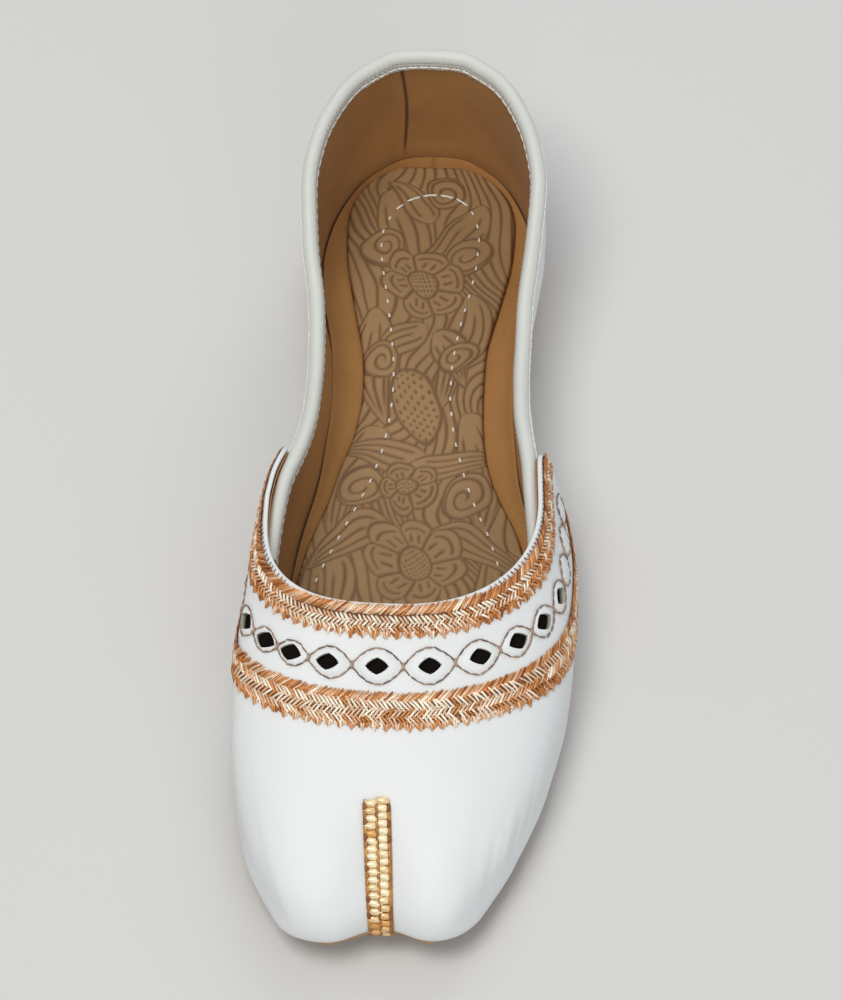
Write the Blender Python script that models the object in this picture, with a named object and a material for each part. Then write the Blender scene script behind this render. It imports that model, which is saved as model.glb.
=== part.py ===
"""A khussa: a flat slip-on shoe with a short embroidered vamp, for the left foot.

The toe points along -Y, the little-toe side is +X, and the shoe stands on z = 0
with the middle of its outline over the origin.
Every wall of the upper is read from one family of curves: at each place along the
shoe's outline a curve climbs from the feather line, where the wall meets the sole,
over the widest part of the wall, to the top edge. Pieces keep a distance from that
shared surface, so they lie on one another with an even gap.
"""

import math

import bpy
import numpy as np
from mathutils import Vector
from mathutils.geometry import delaunay_2d_cdt

# Driving sizes, in metres
SHOE_LENGTH = 0.245
BALL_WIDTH = 0.087
INSTEP_HEIGHT = 0.043
COLLAR_HEIGHT = 0.057
VAMP_LENGTH = 0.0815
WING_LENGTH = 0.049
WING_ROUNDING = 0.006
QUARTER_OVERLAP = 0.022
TOE_FULLNESS = 0.016
SIDE_FULLNESS = 0.014
TOE_SPRING = 0.006
TOE_NOTCH_DEPTH = 0.0058
TOE_NOTCH_WIDTH = 0.025
TOE_SLANT = 0.0022
TOE_VALLEY_DEPTH = 0.0020
TOE_VALLEY_LENGTH = 0.042
LIFT_LENGTH = 0.060
LIFT_HEIGHT = 0.005
LIFT_INSET = 0.0015
SOLE_THICKNESS = 0.0035
SOLE_INSET = 0.0004
BOARD_THICKNESS = 0.0020
BOARD_CURL_HEIGHT = 0.0030
BOARD_CURL_WIDTH = 0.0045
BOARD_TOE_GAP = 0.0008
PAD_THICKNESS = 0.0018
VAMP_WALL = 0.0016
QUARTER_WALL = 0.0018
BINDING_THICKNESS = 0.0008
BINDING_OUTER_DEPTH = 0.0040
BINDING_INNER_DEPTH = 0.0058
THREAD_THICKNESS = 0.0008
FEATHER_INSET = 0.0036
THROAT_LEAN = 0.005
WALL_SOFTNESS = 0.0022
CLEARANCE = 0.0003

# Embroidery, measured along the leather from the throat edge
RIM_WIDTH = 0.0016
UPPER_BAND_WIDTH = 0.0074
CHAIN_WIDTH = 0.0140
LOWER_BAND_WIDTH = 0.0094
TOE_BAND_WIDTH = 0.0066
TOE_BAND_LENGTH = 0.0282
TOE_BAND_TIP_X = 0.0
TOE_BAND_TOP_X = -0.0022
HOLE_PITCH = 0.0132
HOLE_SHIFT = -0.0037
HOLE_LENGTH = 0.0062
HOLE_WIDTH = 0.0048

# Places of the diamond holes along the chain, as shares of HOLE_PITCH from the middle one
HOLE_PLACES = (-2.92, -2.27, -1.69, -0.95, 0.0, 1.0, 1.98, 2.80, 3.52, 4.32)

# Outline of the shoe at its widest height, from the toe corners to the heel.
# along: share of SHOE_LENGTH from the toe. medial, lateral: half-widths as shares of
# BALL_WIDTH. medial_lean, lateral_lean: how far the top edge stands inside the outline,
# as shares of BALL_WIDTH. top: height of the top edge as a share of COLLAR_HEIGHT.
SIDE_NAMES = ("along", "medial", "lateral", "medial_lean", "lateral_lean", "top")
SIDE_ROWS = (
    (0.022, 0.282, 0.233, 0.068, 0.106, 0.730),
    (0.049, 0.335, 0.286, 0.068, 0.106, 0.730),
    (0.094, 0.406, 0.357, 0.064, 0.102, 0.730),
    (0.165, 0.455, 0.438, 0.058, 0.100, 0.730),
    (0.230, 0.472, 0.484, 0.050, 0.100, 0.730),
    (0.300, 0.470, 0.516, 0.042, 0.102, 0.730),
    (0.360, 0.461, 0.524, 0.036, 0.104, 0.730),
    (0.429, 0.446, 0.514, 0.034, 0.100, 0.725),
    (0.490, 0.426, 0.480, 0.034, 0.076, 0.715),
    (0.535, 0.396, 0.441, 0.042, 0.048, 0.700),
    (0.590, 0.349, 0.385, 0.028, 0.026, 0.685),
    (0.650, 0.322, 0.353, 0.012, 0.010, 0.680),
    (0.710, 0.330, 0.352, 0.008, 0.008, 0.705),
    (0.775, 0.358, 0.367, 0.006, 0.006, 0.790),
    (0.840, 0.370, 0.379, 0.006, 0.006, 0.910),
    (0.885, 0.351, 0.358, 0.008, 0.008, 0.965),
    (0.930, 0.302, 0.307, 0.008, 0.008, 0.990),
    (0.965, 0.236, 0.240, 0.008, 0.008, 1.000),
    (0.988, 0.150, 0.152, 0.008, 0.008, 1.000),
)

# Underside of the outsole. along: share of SHOE_LENGTH from the toe. spring and lift:
# shares of TOE_SPRING and of LIFT_HEIGHT by which the underside stands off the floor.
BOTTOM_NAMES = ("along", "spring", "lift")
BOTTOM_ROWS = (
    (0.00, 1.00, 0.00),
    (0.08, 0.60, 0.00),
    (0.16, 0.27, 0.00),
    (0.23, 0.07, 0.00),
    (0.28, 0.00, 0.00),
    (0.41, 0.00, 0.00),
    (0.48, 0.00, 0.06),
    (0.56, 0.00, 0.32),
    (0.65, 0.00, 0.70),
    (0.71, 0.00, 0.94),
    (0.745, 0.00, 1.00),
    (1.00, 0.00, 1.00),
)

# Outline of the sock pad. along: share of SHOE_LENGTH from the toe. medial, lateral:
# half-widths as shares of BALL_WIDTH.
PAD_NAMES = ("along", "medial", "lateral")
PAD_ROWS = (
    (0.100, 0.110, 0.110),
    (0.112, 0.170, 0.165),
    (0.150, 0.250, 0.245),
    (0.220, 0.315, 0.325),
    (0.300, 0.340, 0.370),
    (0.420, 0.335, 0.380),
    (0.476, 0.310, 0.348),
    (0.509, 0.280, 0.315),
    (0.545, 0.246, 0.262),
    (0.580, 0.222, 0.225),
    (0.620, 0.186, 0.206),
    (0.670, 0.171, 0.199),
    (0.715, 0.179, 0.200),
    (0.755, 0.204, 0.220),
    (0.800, 0.230, 0.246),
    (0.845, 0.252, 0.266),
    (0.890, 0.258, 0.268),
    (0.920, 0.240, 0.248),
    (0.943, 0.196, 0.200),
    (0.957, 0.145, 0.148),
    (0.965, 0.085, 0.085),
)

# Throat: how square its two front corners are
THROAT_POWER = {"medial": 3.0, "lateral": 2.25}

# Fineness of the shared curves and of the meshes
OUTLINE_STEPS = 900
PROFILE_STEPS = 80
PATH_SMOOTHING = 40
WING_COLUMNS = 8
FLANK_COLUMNS = 9
TOE_COLUMNS = 16
QUARTER_COLUMNS = 52
QUARTER_ROWS = 6
VAMP_LOWER_ROWS = 7
SOLE_EDGE_POINTS = 84


def read_table(rows, names):
    """Turns a table's rows into one array for each named column."""
    return {name: np.array([row[i] for row in rows]) for i, name in enumerate(names)}


SIDES = read_table(SIDE_ROWS, SIDE_NAMES)
BOTTOM = read_table(BOTTOM_ROWS, BOTTOM_NAMES)
PAD = read_table(PAD_ROWS, PAD_NAMES)

TOE_CORNER = SIDES["along"][0]
HEEL_CORNER = SIDES["along"][-1]
THROAT_REAR = (VAMP_LENGTH + 0.65 * WING_LENGTH) / SHOE_LENGTH
WING_REAR = (VAMP_LENGTH + WING_LENGTH) / SHOE_LENGTH
OPEN_START = WING_REAR + 0.13
QUARTER_FRONT = WING_REAR - QUARTER_OVERLAP / SHOE_LENGTH
OVERLAP_INSET = VAMP_WALL + BINDING_THICKNESS + 2 * CLEARANCE
OPEN_INSET = BINDING_THICKNESS + CLEARANCE
BAND_DEPTH = RIM_WIDTH + UPPER_BAND_WIDTH + CHAIN_WIDTH + LOWER_BAND_WIDTH


# Curves and paths


def smooth_through(known_x, known_y, x):
    """A smooth curve through the known points that never swings past them."""
    known_x = np.asarray(known_x, float)
    known_y = np.asarray(known_y, float)
    step = np.diff(known_x)
    slope = np.diff(known_y) / step
    tangent = np.concatenate(([slope[0]], np.zeros(len(slope) - 1), [slope[-1]]))
    before, after = slope[:-1], slope[1:]
    same_way = before * after > 0
    safe = np.where(same_way, before + after, 1.0)
    tangent[1:-1] = np.where(same_way, 2 * before * after / safe, 0.0)
    x = np.clip(x, known_x[0], known_x[-1])
    cell = np.clip(np.searchsorted(known_x, x, side="right") - 1, 0, len(step) - 1)
    t = (x - known_x[cell]) / step[cell]
    return (
        (1 + 2 * t) * (1 - t) ** 2 * known_y[cell]
        + t * (1 - t) ** 2 * step[cell] * tangent[cell]
        + t * t * (3 - 2 * t) * known_y[cell + 1]
        + t * t * (t - 1) * step[cell] * tangent[cell + 1]
    )


def ease(x, start, end):
    """Rises smoothly from 0 at start to 1 at end."""
    t = np.clip((x - start) / (end - start), 0.0, 1.0)
    return t * t * (3 - 2 * t)


def along_to_y(along):
    """World y of a place given as a share of the length from the toe."""
    return (along - 0.5) * SHOE_LENGTH


def y_to_along(y):
    return y / SHOE_LENGTH + 0.5


def side_value(name, along):
    return smooth_through(SIDES["along"], SIDES[name], along)


def sole_bottom(y):
    """Height of the outsole's underside."""
    along = y_to_along(np.asarray(y, float))
    spring = smooth_through(BOTTOM["along"], BOTTOM["spring"], along) * TOE_SPRING
    lift = smooth_through(BOTTOM["along"], BOTTOM["lift"], along)
    return spring + lift * (LIFT_HEIGHT + CLEARANCE)


def feather_inset(y):
    """How far the feather line lies inside the outline: less at the upright heel."""
    return FEATHER_INSET * (1 - 0.4 * ease(y_to_along(y), 0.68, 0.84))


def sole_top(y):
    return sole_bottom(y) + SOLE_THICKNESS


def path_shares(path):
    """How far along the path each of its points lies, from 0 to 1."""
    lengths = np.linalg.norm(np.diff(path, axis=0), axis=1)
    total = np.concatenate(([0.0], np.cumsum(lengths)))
    return total / total[-1]


def at_shares(path, shares):
    """Points of a path at the given shares of its length."""
    have = path_shares(path)
    return np.stack([np.interp(shares, have, path[:, k]) for k in range(path.shape[1])], 1)


def even_path(path, closed=False):
    """A path with even steps and its small corners evened out."""
    path = at_shares(path, np.linspace(0, 1, OUTLINE_STEPS))
    for _ in range(PATH_SMOOTHING):
        inner = (path[:-2] + 2 * path[1:-1] + path[2:]) / 4
        ends = (path[:1], path[-1:])
        if closed:
            joint = ((path[-2] + 2 * path[0] + path[1]) / 4)[None]
            ends = (joint, joint)
        path = np.concatenate([ends[0], inner, ends[1]])
    return at_shares(path, np.linspace(0, 1, OUTLINE_STEPS))


def outward(path, closed=False):
    """Unit normals of a plan path that runs from medial by the toe to lateral."""
    if closed:
        wrapped = np.concatenate([path[-2:-1], path, path[1:2]])
        tangent = np.gradient(wrapped, axis=0)[1:-1]
    else:
        tangent = np.gradient(path, axis=0)
    normal = np.stack([tangent[:, 1], -tangent[:, 0]], 1)
    return normal / np.linalg.norm(normal, axis=1, keepdims=True)


# Plan outlines


def toe_front():
    """Plan points across the toe with its notch, between the two toe corners."""
    corner = TOE_CORNER * SHOE_LENGTH
    medial = -SIDES["medial"][0] * BALL_WIDTH
    lateral = SIDES["lateral"][0] * BALL_WIDTH
    x = np.linspace(medial, lateral, 90)[1:-1]
    reach = np.where(x < 0, x / medial, x / lateral)
    slant = TOE_SLANT * (x > 0)
    rounding = slant * reach + (corner - slant) * (1 - np.sqrt(np.clip(1 - reach**4, 0, 1)))
    dip = np.clip(np.abs(x) / (TOE_NOTCH_WIDTH / 2), 0, 1)
    notch = TOE_NOTCH_DEPTH * (0.5 + 0.5 * np.cos(math.pi * dip))
    return np.stack([x, rounding + notch - SHOE_LENGTH / 2], 1)


def heel_back(half, back):
    """Plan points from one heel corner to just before the middle of the back."""
    angle = np.linspace(0, math.pi / 2, 24)[1:-1]
    y = along_to_y(HEEL_CORNER) + (back - along_to_y(HEEL_CORNER)) * np.sin(angle)
    return np.stack([half * np.cos(angle), y], 1)


def flank(side, start, end, leaned=False):
    """Plan points of one side between two stations, with x counted outward."""
    along = np.linspace(start, end, 260)
    half = side_value(side, along) * BALL_WIDTH
    if leaned:
        half = half - side_value(side + "_lean", along) * BALL_WIDTH
    return np.stack([half, along_to_y(along)], 1)


def outline_path():
    """The whole outline as a loop from the heel by the medial side and the toe."""
    medial = flank("medial", TOE_CORNER, HEEL_CORNER)
    lateral = flank("lateral", TOE_CORNER, HEEL_CORNER)
    back = SHOE_LENGTH / 2
    heel_m = heel_back(medial[-1, 0], back)
    heel_l = heel_back(lateral[-1, 0], back)
    loop = np.concatenate(
        [
            [[0.0, back]],
            heel_m[::-1] * (-1, 1),
            medial[::-1] * (-1, 1),
            toe_front(),
            lateral,
            heel_l,
            [[0.0, back]],
        ]
    )
    return even_path(loop, closed=True)


def throat_half(side):
    """Plan points of the throat from its middle to its rear on one side."""
    rear = flank(side, THROAT_REAR, THROAT_REAR + 0.001, leaned=True)[0]
    front = VAMP_LENGTH - SHOE_LENGTH / 2
    power = THROAT_POWER[side]
    angle = np.linspace(0, math.pi / 2, 120)
    x = rear[0] * np.sin(angle) ** (2 / power)
    y = rear[1] - (rear[1] - front) * np.cos(angle) ** (2 / power)
    return np.stack([x, y], 1)


def vamp_top_path():
    """Plan of the vamp's top edge, from the medial wing round the throat."""
    halves = {}
    for side in ("medial", "lateral"):
        wing = flank(side, THROAT_REAR, WING_REAR, leaned=True)[1:]
        halves[side] = np.concatenate([throat_half(side), wing])
    return even_path(np.concatenate([halves["medial"][::-1] * (-1, 1), halves["lateral"][1:]]))


def collar_path():
    """Plan of the collar's top edge, from the medial side round the heel."""
    medial = flank("medial", QUARTER_FRONT, HEEL_CORNER, leaned=True)
    lateral = flank("lateral", QUARTER_FRONT, HEEL_CORNER, leaned=True)
    back = SHOE_LENGTH / 2 - SIDES["medial_lean"][-1] * BALL_WIDTH
    heel_m = heel_back(medial[-1, 0], back)
    heel_l = heel_back(lateral[-1, 0], back)
    return even_path(
        np.concatenate(
            [
                medial * (-1, 1),
                heel_m * (-1, 1),
                [[0.0, back]],
                heel_l[::-1],
                lateral[::-1],
            ]
        )
    )


OUTLINE = outline_path()
OUTLINE_NORMAL = outward(OUTLINE, closed=True)
FEATHER = OUTLINE - OUTLINE_NORMAL * feather_inset(OUTLINE[:, 1])[:, None]


def outline_part(start, end, by_heel):
    """The piece of the outline between two stations, with its outward normals."""
    toe = int(np.argmin(np.abs(OUTLINE[:, 0]) + (OUTLINE[:, 1] > 0)))
    count = len(OUTLINE)
    wanted_m = along_to_y(start)
    wanted_l = along_to_y(end)
    medial = int(np.argmin(np.abs(OUTLINE[:toe, 1] - wanted_m)))
    lateral = toe + int(np.argmin(np.abs(OUTLINE[toe:, 1] - wanted_l)))
    if by_heel:
        chosen = [i % (count - 1) for i in range(medial, lateral - count, -1)]
    else:
        chosen = list(range(medial, lateral + 1))
    return OUTLINE[chosen], OUTLINE_NORMAL[chosen]


# The wall's curves


def wall_curves(foot, normal, top, top_normal, top_height, steepness, top_reach):
    """One curve for each column, from the feather line to the top edge.

    foot, normal: plan points on the outline and their outward normals. top,
    top_normal, top_height: the top edge. steepness: slope of the wall at the top
    edge, in radians below level. top_reach: greatest length of the upper handle.
    The handles are then set so that each wall just reaches the outline.
    """
    count = len(foot)
    inset = feather_inset(foot[:, 1])
    low = foot - normal * inset[:, None]
    low_height = sole_top(low[:, 1]) + CLEARANCE
    p0 = np.column_stack([low, low_height])
    p3 = np.column_stack([top, top_height])
    lift = np.column_stack([top_normal * np.cos(steepness)[:, None], -np.sin(steepness)])
    rise = SIDE_FULLNESS + (TOE_FULLNESS - SIDE_FULLNESS) * (
        1 - ease(y_to_along(foot[:, 1]), TOE_CORNER, 0.2)
    )
    out_top = np.sum((top - low) * normal, axis=1)
    out_lift = np.sum(lift[:, :2] * normal, axis=1)
    t = np.linspace(0, 1, PROFILE_STEPS)[None, :]

    def furthest(lower_handle, upper_reach):
        handle = out_top + out_lift * upper_reach
        curve = 3 * (1 - t) ** 2 * t * lower_handle[:, None] + t**3 * out_top[:, None]
        return (curve + 3 * (1 - t) * t**2 * handle[:, None]).max(axis=1)

    shortest, longest = np.zeros(count), top_reach.copy()
    for _ in range(24):
        middle = (shortest + longest) / 2
        fits = furthest(0.8 * inset, middle) < inset
        shortest = np.where(fits, middle, shortest)
        longest = np.where(fits, longest, middle)
    p2 = p3 + lift * shortest[:, None]
    top_reach = shortest
    shortest, longest = np.zeros(count), 4 * inset
    for _ in range(24):
        middle = (shortest + longest) / 2
        enough = furthest(middle, top_reach) > inset
        longest = np.where(enough, middle, longest)
        shortest = np.where(enough, shortest, middle)
    p1 = p0 + np.column_stack([normal * longest[:, None], rise])
    t = t[:, :, None]
    return kept_inside(
        (1 - t) ** 3 * p0[:, None]
        + 3 * (1 - t) ** 2 * t * p1[:, None]
        + 3 * (1 - t) * t**2 * p2[:, None]
        + t**3 * p3[:, None]
    )


def kept_inside(curves):
    """Presses back softly what swells past the outline between two columns."""
    kept = curves.copy()
    for curve in kept:
        gap = curve[:, None, :2] - OUTLINE[None]
        near = np.argmin((gap**2).sum(axis=2), axis=1)
        way = OUTLINE_NORMAL[near]
        past = np.sum((curve[:, :2] - OUTLINE[near]) * way, axis=1)
        wing = ease(y_to_along(curve[:, 1]), THROAT_REAR - 0.10, THROAT_REAR + 0.06)
        soft = WALL_SOFTNESS * (1 - 0.9 * wing)
        pressed = -soft * np.logaddexp(0, -past / soft)
        lifted = ease(curve[:, 2] - curve[0, 2], 0.0005, 0.008)
        curve[:, :2] += way * ((pressed - past) * lifted)[:, None]
    return kept


def vamp_columns(outline_shares):
    """Wall curves of the vamp, and how far its rounded wing tips cut into them."""
    foot_path, foot_normal = outline_part(WING_REAR, WING_REAR, by_heel=False)
    top_path = vamp_top_path()
    top_normal_path = outward(top_path)
    outline_marks, top_marks = [0.0], [0.0]
    foot_share, top_share = path_shares(foot_path), path_shares(top_path)
    beside = THROAT_REAR + 0.012
    stations = ((-1, beside), (-1, 0.0), (0, 0.0), (1, 0.0), (1, beside))
    for side, along in stations:
        if along:
            half_foot = side * foot_path[:, 0] > 0
            half_top = side * top_path[:, 0] > 0
            y = along_to_y(along)
            i = np.argmin(np.where(half_foot, np.abs(foot_path[:, 1] - y), 9.0))
            j = np.argmin(np.where(half_top, np.abs(top_path[:, 1] - y), 9.0))
        else:
            corner_foot = side * SIDES["lateral"][0] * BALL_WIDTH
            corner_top = corner_foot - THROAT_LEAN
            front_foot = foot_path[:, 1] > along_to_y(0.12)
            i = np.argmin(np.abs(foot_path[:, 0] - corner_foot) + 9.0 * front_foot)
            front_top = top_path[:, 1] > along_to_y(THROAT_REAR - 0.02)
            j = np.argmin(np.abs(top_path[:, 0] - corner_top) + 9.0 * front_top)
        outline_marks.append(foot_share[i])
        top_marks.append(top_share[j])
    outline_marks.append(1.0)
    top_marks.append(1.0)
    top_shares = smooth_through(outline_marks, top_marks, outline_shares)
    foot = at_shares(foot_path, outline_shares)
    normal = at_shares(foot_normal, outline_shares)
    normal /= np.linalg.norm(normal, axis=1, keepdims=True)
    top = at_shares(top_path, top_shares)
    top_normal = np.stack(
        [np.interp(top_shares, top_share, top_normal_path[:, k]) for k in (0, 1)], 1
    )
    top_normal /= np.linalg.norm(top_normal, axis=1, keepdims=True)
    along = y_to_along(top[:, 1])
    front = VAMP_LENGTH / SHOE_LENGTH
    backness = ease(along, front, THROAT_REAR)
    wing_height = side_value("top", along) * COLLAR_HEIGHT
    height = INSTEP_HEIGHT + (wing_height - INSTEP_HEIGHT) * backness
    past = np.clip((along - WING_REAR) * SHOE_LENGTH / WING_ROUNDING + 1, 0, 1)
    cut_back = 0.8 * WING_ROUNDING * (1 - np.sqrt(1 - past**2))
    steepness = np.radians(24 + 54 * ease(along, front, THROAT_REAR + 0.01))
    span = np.linalg.norm(np.column_stack([top - foot, height]), axis=1)
    reach = span * (0.46 - 0.10 * backness)
    return wall_curves(foot, normal, top, top_normal, height, steepness, reach), cut_back


def quarter_columns(shares):
    """Wall curves of the back part at the given shares of its outline's length."""
    foot_path, foot_normal = outline_part(QUARTER_FRONT, QUARTER_FRONT, by_heel=True)
    top_path = collar_path()
    top_normal_path = outward(top_path[::-1])[::-1]
    foot_share, top_share = path_shares(foot_path), path_shares(top_path)
    middle_foot = int(np.argmax(foot_path[:, 1]))
    middle_top = int(np.argmax(top_path[:, 1]))
    outline_marks, top_marks = [0.0], [0.0]
    for along in (WING_REAR + 0.02, 0.70, 0.84):
        y = along_to_y(along)
        i = np.argmin(np.abs(foot_path[:middle_foot, 1] - y))
        j = np.argmin(np.abs(top_path[:middle_top, 1] - y))
        outline_marks.append(foot_share[i])
        top_marks.append(top_share[j])
    outline_marks.append(foot_share[middle_foot])
    top_marks.append(top_share[middle_top])
    for along in (0.84, 0.70, WING_REAR + 0.02):
        y = along_to_y(along)
        i = middle_foot + np.argmin(np.abs(foot_path[middle_foot:, 1] - y))
        j = middle_top + np.argmin(np.abs(top_path[middle_top:, 1] - y))
        outline_marks.append(foot_share[i])
        top_marks.append(top_share[j])
    outline_marks.append(1.0)
    top_marks.append(1.0)
    top_shares = smooth_through(outline_marks, top_marks, shares)
    foot = at_shares(foot_path, shares)
    normal = at_shares(foot_normal, shares)
    normal /= np.linalg.norm(normal, axis=1, keepdims=True)
    top = at_shares(top_path, top_shares)
    top_normal = np.stack(
        [np.interp(top_shares, top_share, top_normal_path[:, k]) for k in (0, 1)], 1
    )
    top_normal /= np.linalg.norm(top_normal, axis=1, keepdims=True)
    along = y_to_along(top[:, 1])
    height = side_value("top", along) * COLLAR_HEIGHT
    steepness = np.radians(78 + 6 * ease(along, 0.55, 0.75))
    span = np.linalg.norm(np.column_stack([top - foot, height]), axis=1)
    return wall_curves(foot, normal, top, top_normal, height, steepness, span * 0.36)


def rows_from_top(curves, distances):
    """Points on each curve at given distances from the top edge, per column."""
    grid = np.empty((len(curves), distances.shape[1], 3))
    for i, curve in enumerate(curves):
        down = curve[::-1]
        length = np.concatenate(
            ([0.0], np.cumsum(np.linalg.norm(np.diff(down, axis=0), axis=1)))
        )
        for k in range(3):
            grid[i, :, k] = np.interp(distances[i], length, down[:, k])
    return grid


def curve_lengths(curves):
    return np.linalg.norm(np.diff(curves, axis=1), axis=2).sum(axis=1)


def grid_normals(grid, by_toe):
    """Outward unit normals of a grid whose rows run down from the top edge.

    by_toe: whether the columns go round by the toe, or else by the heel.
    """
    across = np.gradient(grid, axis=0)
    down = np.gradient(grid, axis=1)
    normal = np.cross(across, down)
    normal /= np.linalg.norm(normal, axis=2, keepdims=True)
    return -normal if by_toe else normal


def toe_valley(grid):
    """Sinks the shallow valley that the toe band lies in, between the two lobes."""
    forward = 1 - ease(grid[..., 1], along_to_y(0.02), -SHOE_LENGTH / 2 + TOE_VALLEY_LENGTH)
    beside = np.exp(-((grid[..., 0] / (TOE_NOTCH_WIDTH * 0.32)) ** 2))
    high = ease(grid[..., 2], 0.4 * TOE_FULLNESS, TOE_FULLNESS)
    sunk = grid.copy()
    sunk[..., 2] -= TOE_VALLEY_DEPTH * forward * beside * high
    return sunk


def vamp_surface(outline_shares, band_rows, lower_rows):
    """The vamp's outer surface and normals: rows by distance from the throat edge.

    band_rows: distances from the throat edge inside the embroidered width. lower_rows:
    shares of what is left below it, from 0 to 1. Where the wall is shorter than the
    embroidery, at the wings, the distances shrink with it.
    """
    curves, cut_back = vamp_columns(outline_shares)
    length = curve_lengths(curves) - cut_back
    shrink = np.minimum(1.0, (length - 2 * RIM_WIDTH) / BAND_DEPTH)
    upper = shrink[:, None] * np.asarray(band_rows)[None, :]
    start = (shrink * BAND_DEPTH)[:, None]
    lower = start + (length[:, None] - start) * np.asarray(lower_rows)[None, :]
    distances = np.concatenate([upper, lower], axis=1) + cut_back[:, None]
    grid = toe_valley(rows_from_top(curves, distances))
    return grid, grid_normals(grid, by_toe=True)


def quarter_inset(along):
    """How far the back part's outer face lies inside the shared surface."""
    return OVERLAP_INSET + (OPEN_INSET - OVERLAP_INSET) * ease(along, WING_REAR, OPEN_START)


def collar_drop(along):
    """How far the collar's edge dips below the vamp's edge where it runs inside it."""
    return 0.0045 * (1 - ease(along, QUARTER_FRONT, WING_REAR + 0.02))


def quarter_rows(shares):
    """Distances of the back part's rows from the top edge, down to the feather line."""
    curves = quarter_columns(shares)
    length = curve_lengths(curves) - collar_drop(y_to_along(curves[:, -1, 1]))
    start = BINDING_THICKNESS + CLEARANCE
    down = np.linspace(0, 1, QUARTER_ROWS + 1)[None, :]
    return start + (length[:, None] - start) * down


def quarter_surface(shares, distances):
    """Points and normals of the back part's outer face at distances from the top."""
    curves = quarter_columns(shares)
    drop = collar_drop(y_to_along(curves[:, -1, 1]))
    rows = np.asarray(distances) + drop[:, None]
    grid = rows_from_top(curves, rows)
    normal = grid_normals(grid, by_toe=False)
    along = y_to_along(curves[:, -1, 1])
    open_part = ease(along, WING_REAR, OPEN_START)[:, None]
    down = rows / curve_lengths(curves)[:, None]
    inset = quarter_inset(along)[:, None] * (1 - open_part * ease(down, 0.15, 0.8))
    return grid - normal * inset[:, :, None], normal


# Mesh helpers


def make_material(name, colour, roughness, metallic=0.0):
    material = bpy.data.materials.new(name)
    material.use_nodes = True
    shader = material.node_tree.nodes["Principled BSDF"]
    shader.inputs["Base Color"].default_value = (*colour, 1.0)
    shader.inputs["Roughness"].default_value = roughness
    shader.inputs["Metallic"].default_value = metallic
    return material


def make_object(name, points, faces, material):
    mesh = bpy.data.meshes.new(name)
    mesh.from_pydata([tuple(map(float, p - MIDDLE)) for p in points], [], faces)
    mesh.update()
    mesh.shade_smooth()
    mesh.set_sharp_from_angle(angle=math.radians(40))
    mesh.materials.append(material)
    piece = bpy.data.objects.new(name, mesh)
    bpy.context.collection.objects.link(piece)
    return piece


def thick_sheet(name, outer, inner, material):
    """A closed wall between two grids whose columns run anticlockwise from above."""
    columns, rows = outer.shape[:2]
    points = np.concatenate([outer.reshape(-1, 3), inner.reshape(-1, 3)])
    shift = columns * rows
    faces = []

    def at(i, j, side):
        return side * shift + i * rows + j

    for i in range(columns - 1):
        for j in range(rows - 1):
            faces.append((at(i, j, 0), at(i + 1, j, 0), at(i + 1, j + 1, 0), at(i, j + 1, 0)))
            faces.append((at(i, j, 1), at(i, j + 1, 1), at(i + 1, j + 1, 1), at(i + 1, j, 1)))
    for i in range(columns - 1):
        last = rows - 1
        faces.append((at(i, 0, 1), at(i + 1, 0, 1), at(i + 1, 0, 0), at(i, 0, 0)))
        faces.append((at(i, last, 0), at(i + 1, last, 0), at(i + 1, last, 1), at(i, last, 1)))
    for j in range(rows - 1):
        last = columns - 1
        faces.append((at(0, j, 0), at(0, j + 1, 0), at(0, j + 1, 1), at(0, j, 1)))
        faces.append((at(last, j, 1), at(last, j + 1, 1), at(last, j + 1, 0), at(last, j, 0)))
    return make_object(name, points, faces, material)


def plate(name, loop, inner_points, bottom, top, material):
    """A closed plate over a plan loop, with its two faces given as heights."""
    plan = [Vector(p) for p in np.concatenate([loop, inner_points])]
    edge = len(loop)
    ring = [(i, (i + 1) % edge) for i in range(edge)]
    found = delaunay_2d_cdt(plan, ring, [], 1, 1e-7)
    plan_out, triangles = found[0], found[2]
    flat = np.array([tuple(p) for p in plan_out])
    count = len(flat)
    low = np.column_stack([flat, bottom(flat)])
    high = np.column_stack([flat, top(flat)])
    faces = [tuple(t) for t in triangles]
    area = sum(
        (flat[b] - flat[a])[0] * (flat[c] - flat[a])[1]
        - (flat[b] - flat[a])[1] * (flat[c] - flat[a])[0]
        for a, b, c in faces
    )
    if area < 0:
        faces = [face[::-1] for face in faces]
    uppers = [tuple(i + count for i in face) for face in faces]
    lowers = [face[::-1] for face in faces]
    used = {}
    for a, b, c in faces:
        for start, end in ((a, b), (b, c), (c, a)):
            used[(start, end)] = True
    rim = [pair for pair in used if (pair[1], pair[0]) not in used]
    sides = [(a, b, b + count, a + count) for a, b in rim]
    return make_object(name, np.concatenate([low, high]), uppers + lowers + sides, material)


def closed_loop(path, count):
    """Evenly spaced plan points of a closed path, without the repeated last one."""
    return at_shares(path, np.linspace(0, 1, count + 1))[:-1]


def inset_loop(loop, distance):
    wrapped = np.concatenate([loop, loop[:1]])
    return loop - outward(wrapped, closed=True)[:-1] * np.reshape(distance, (-1, 1))


# The pieces


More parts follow.
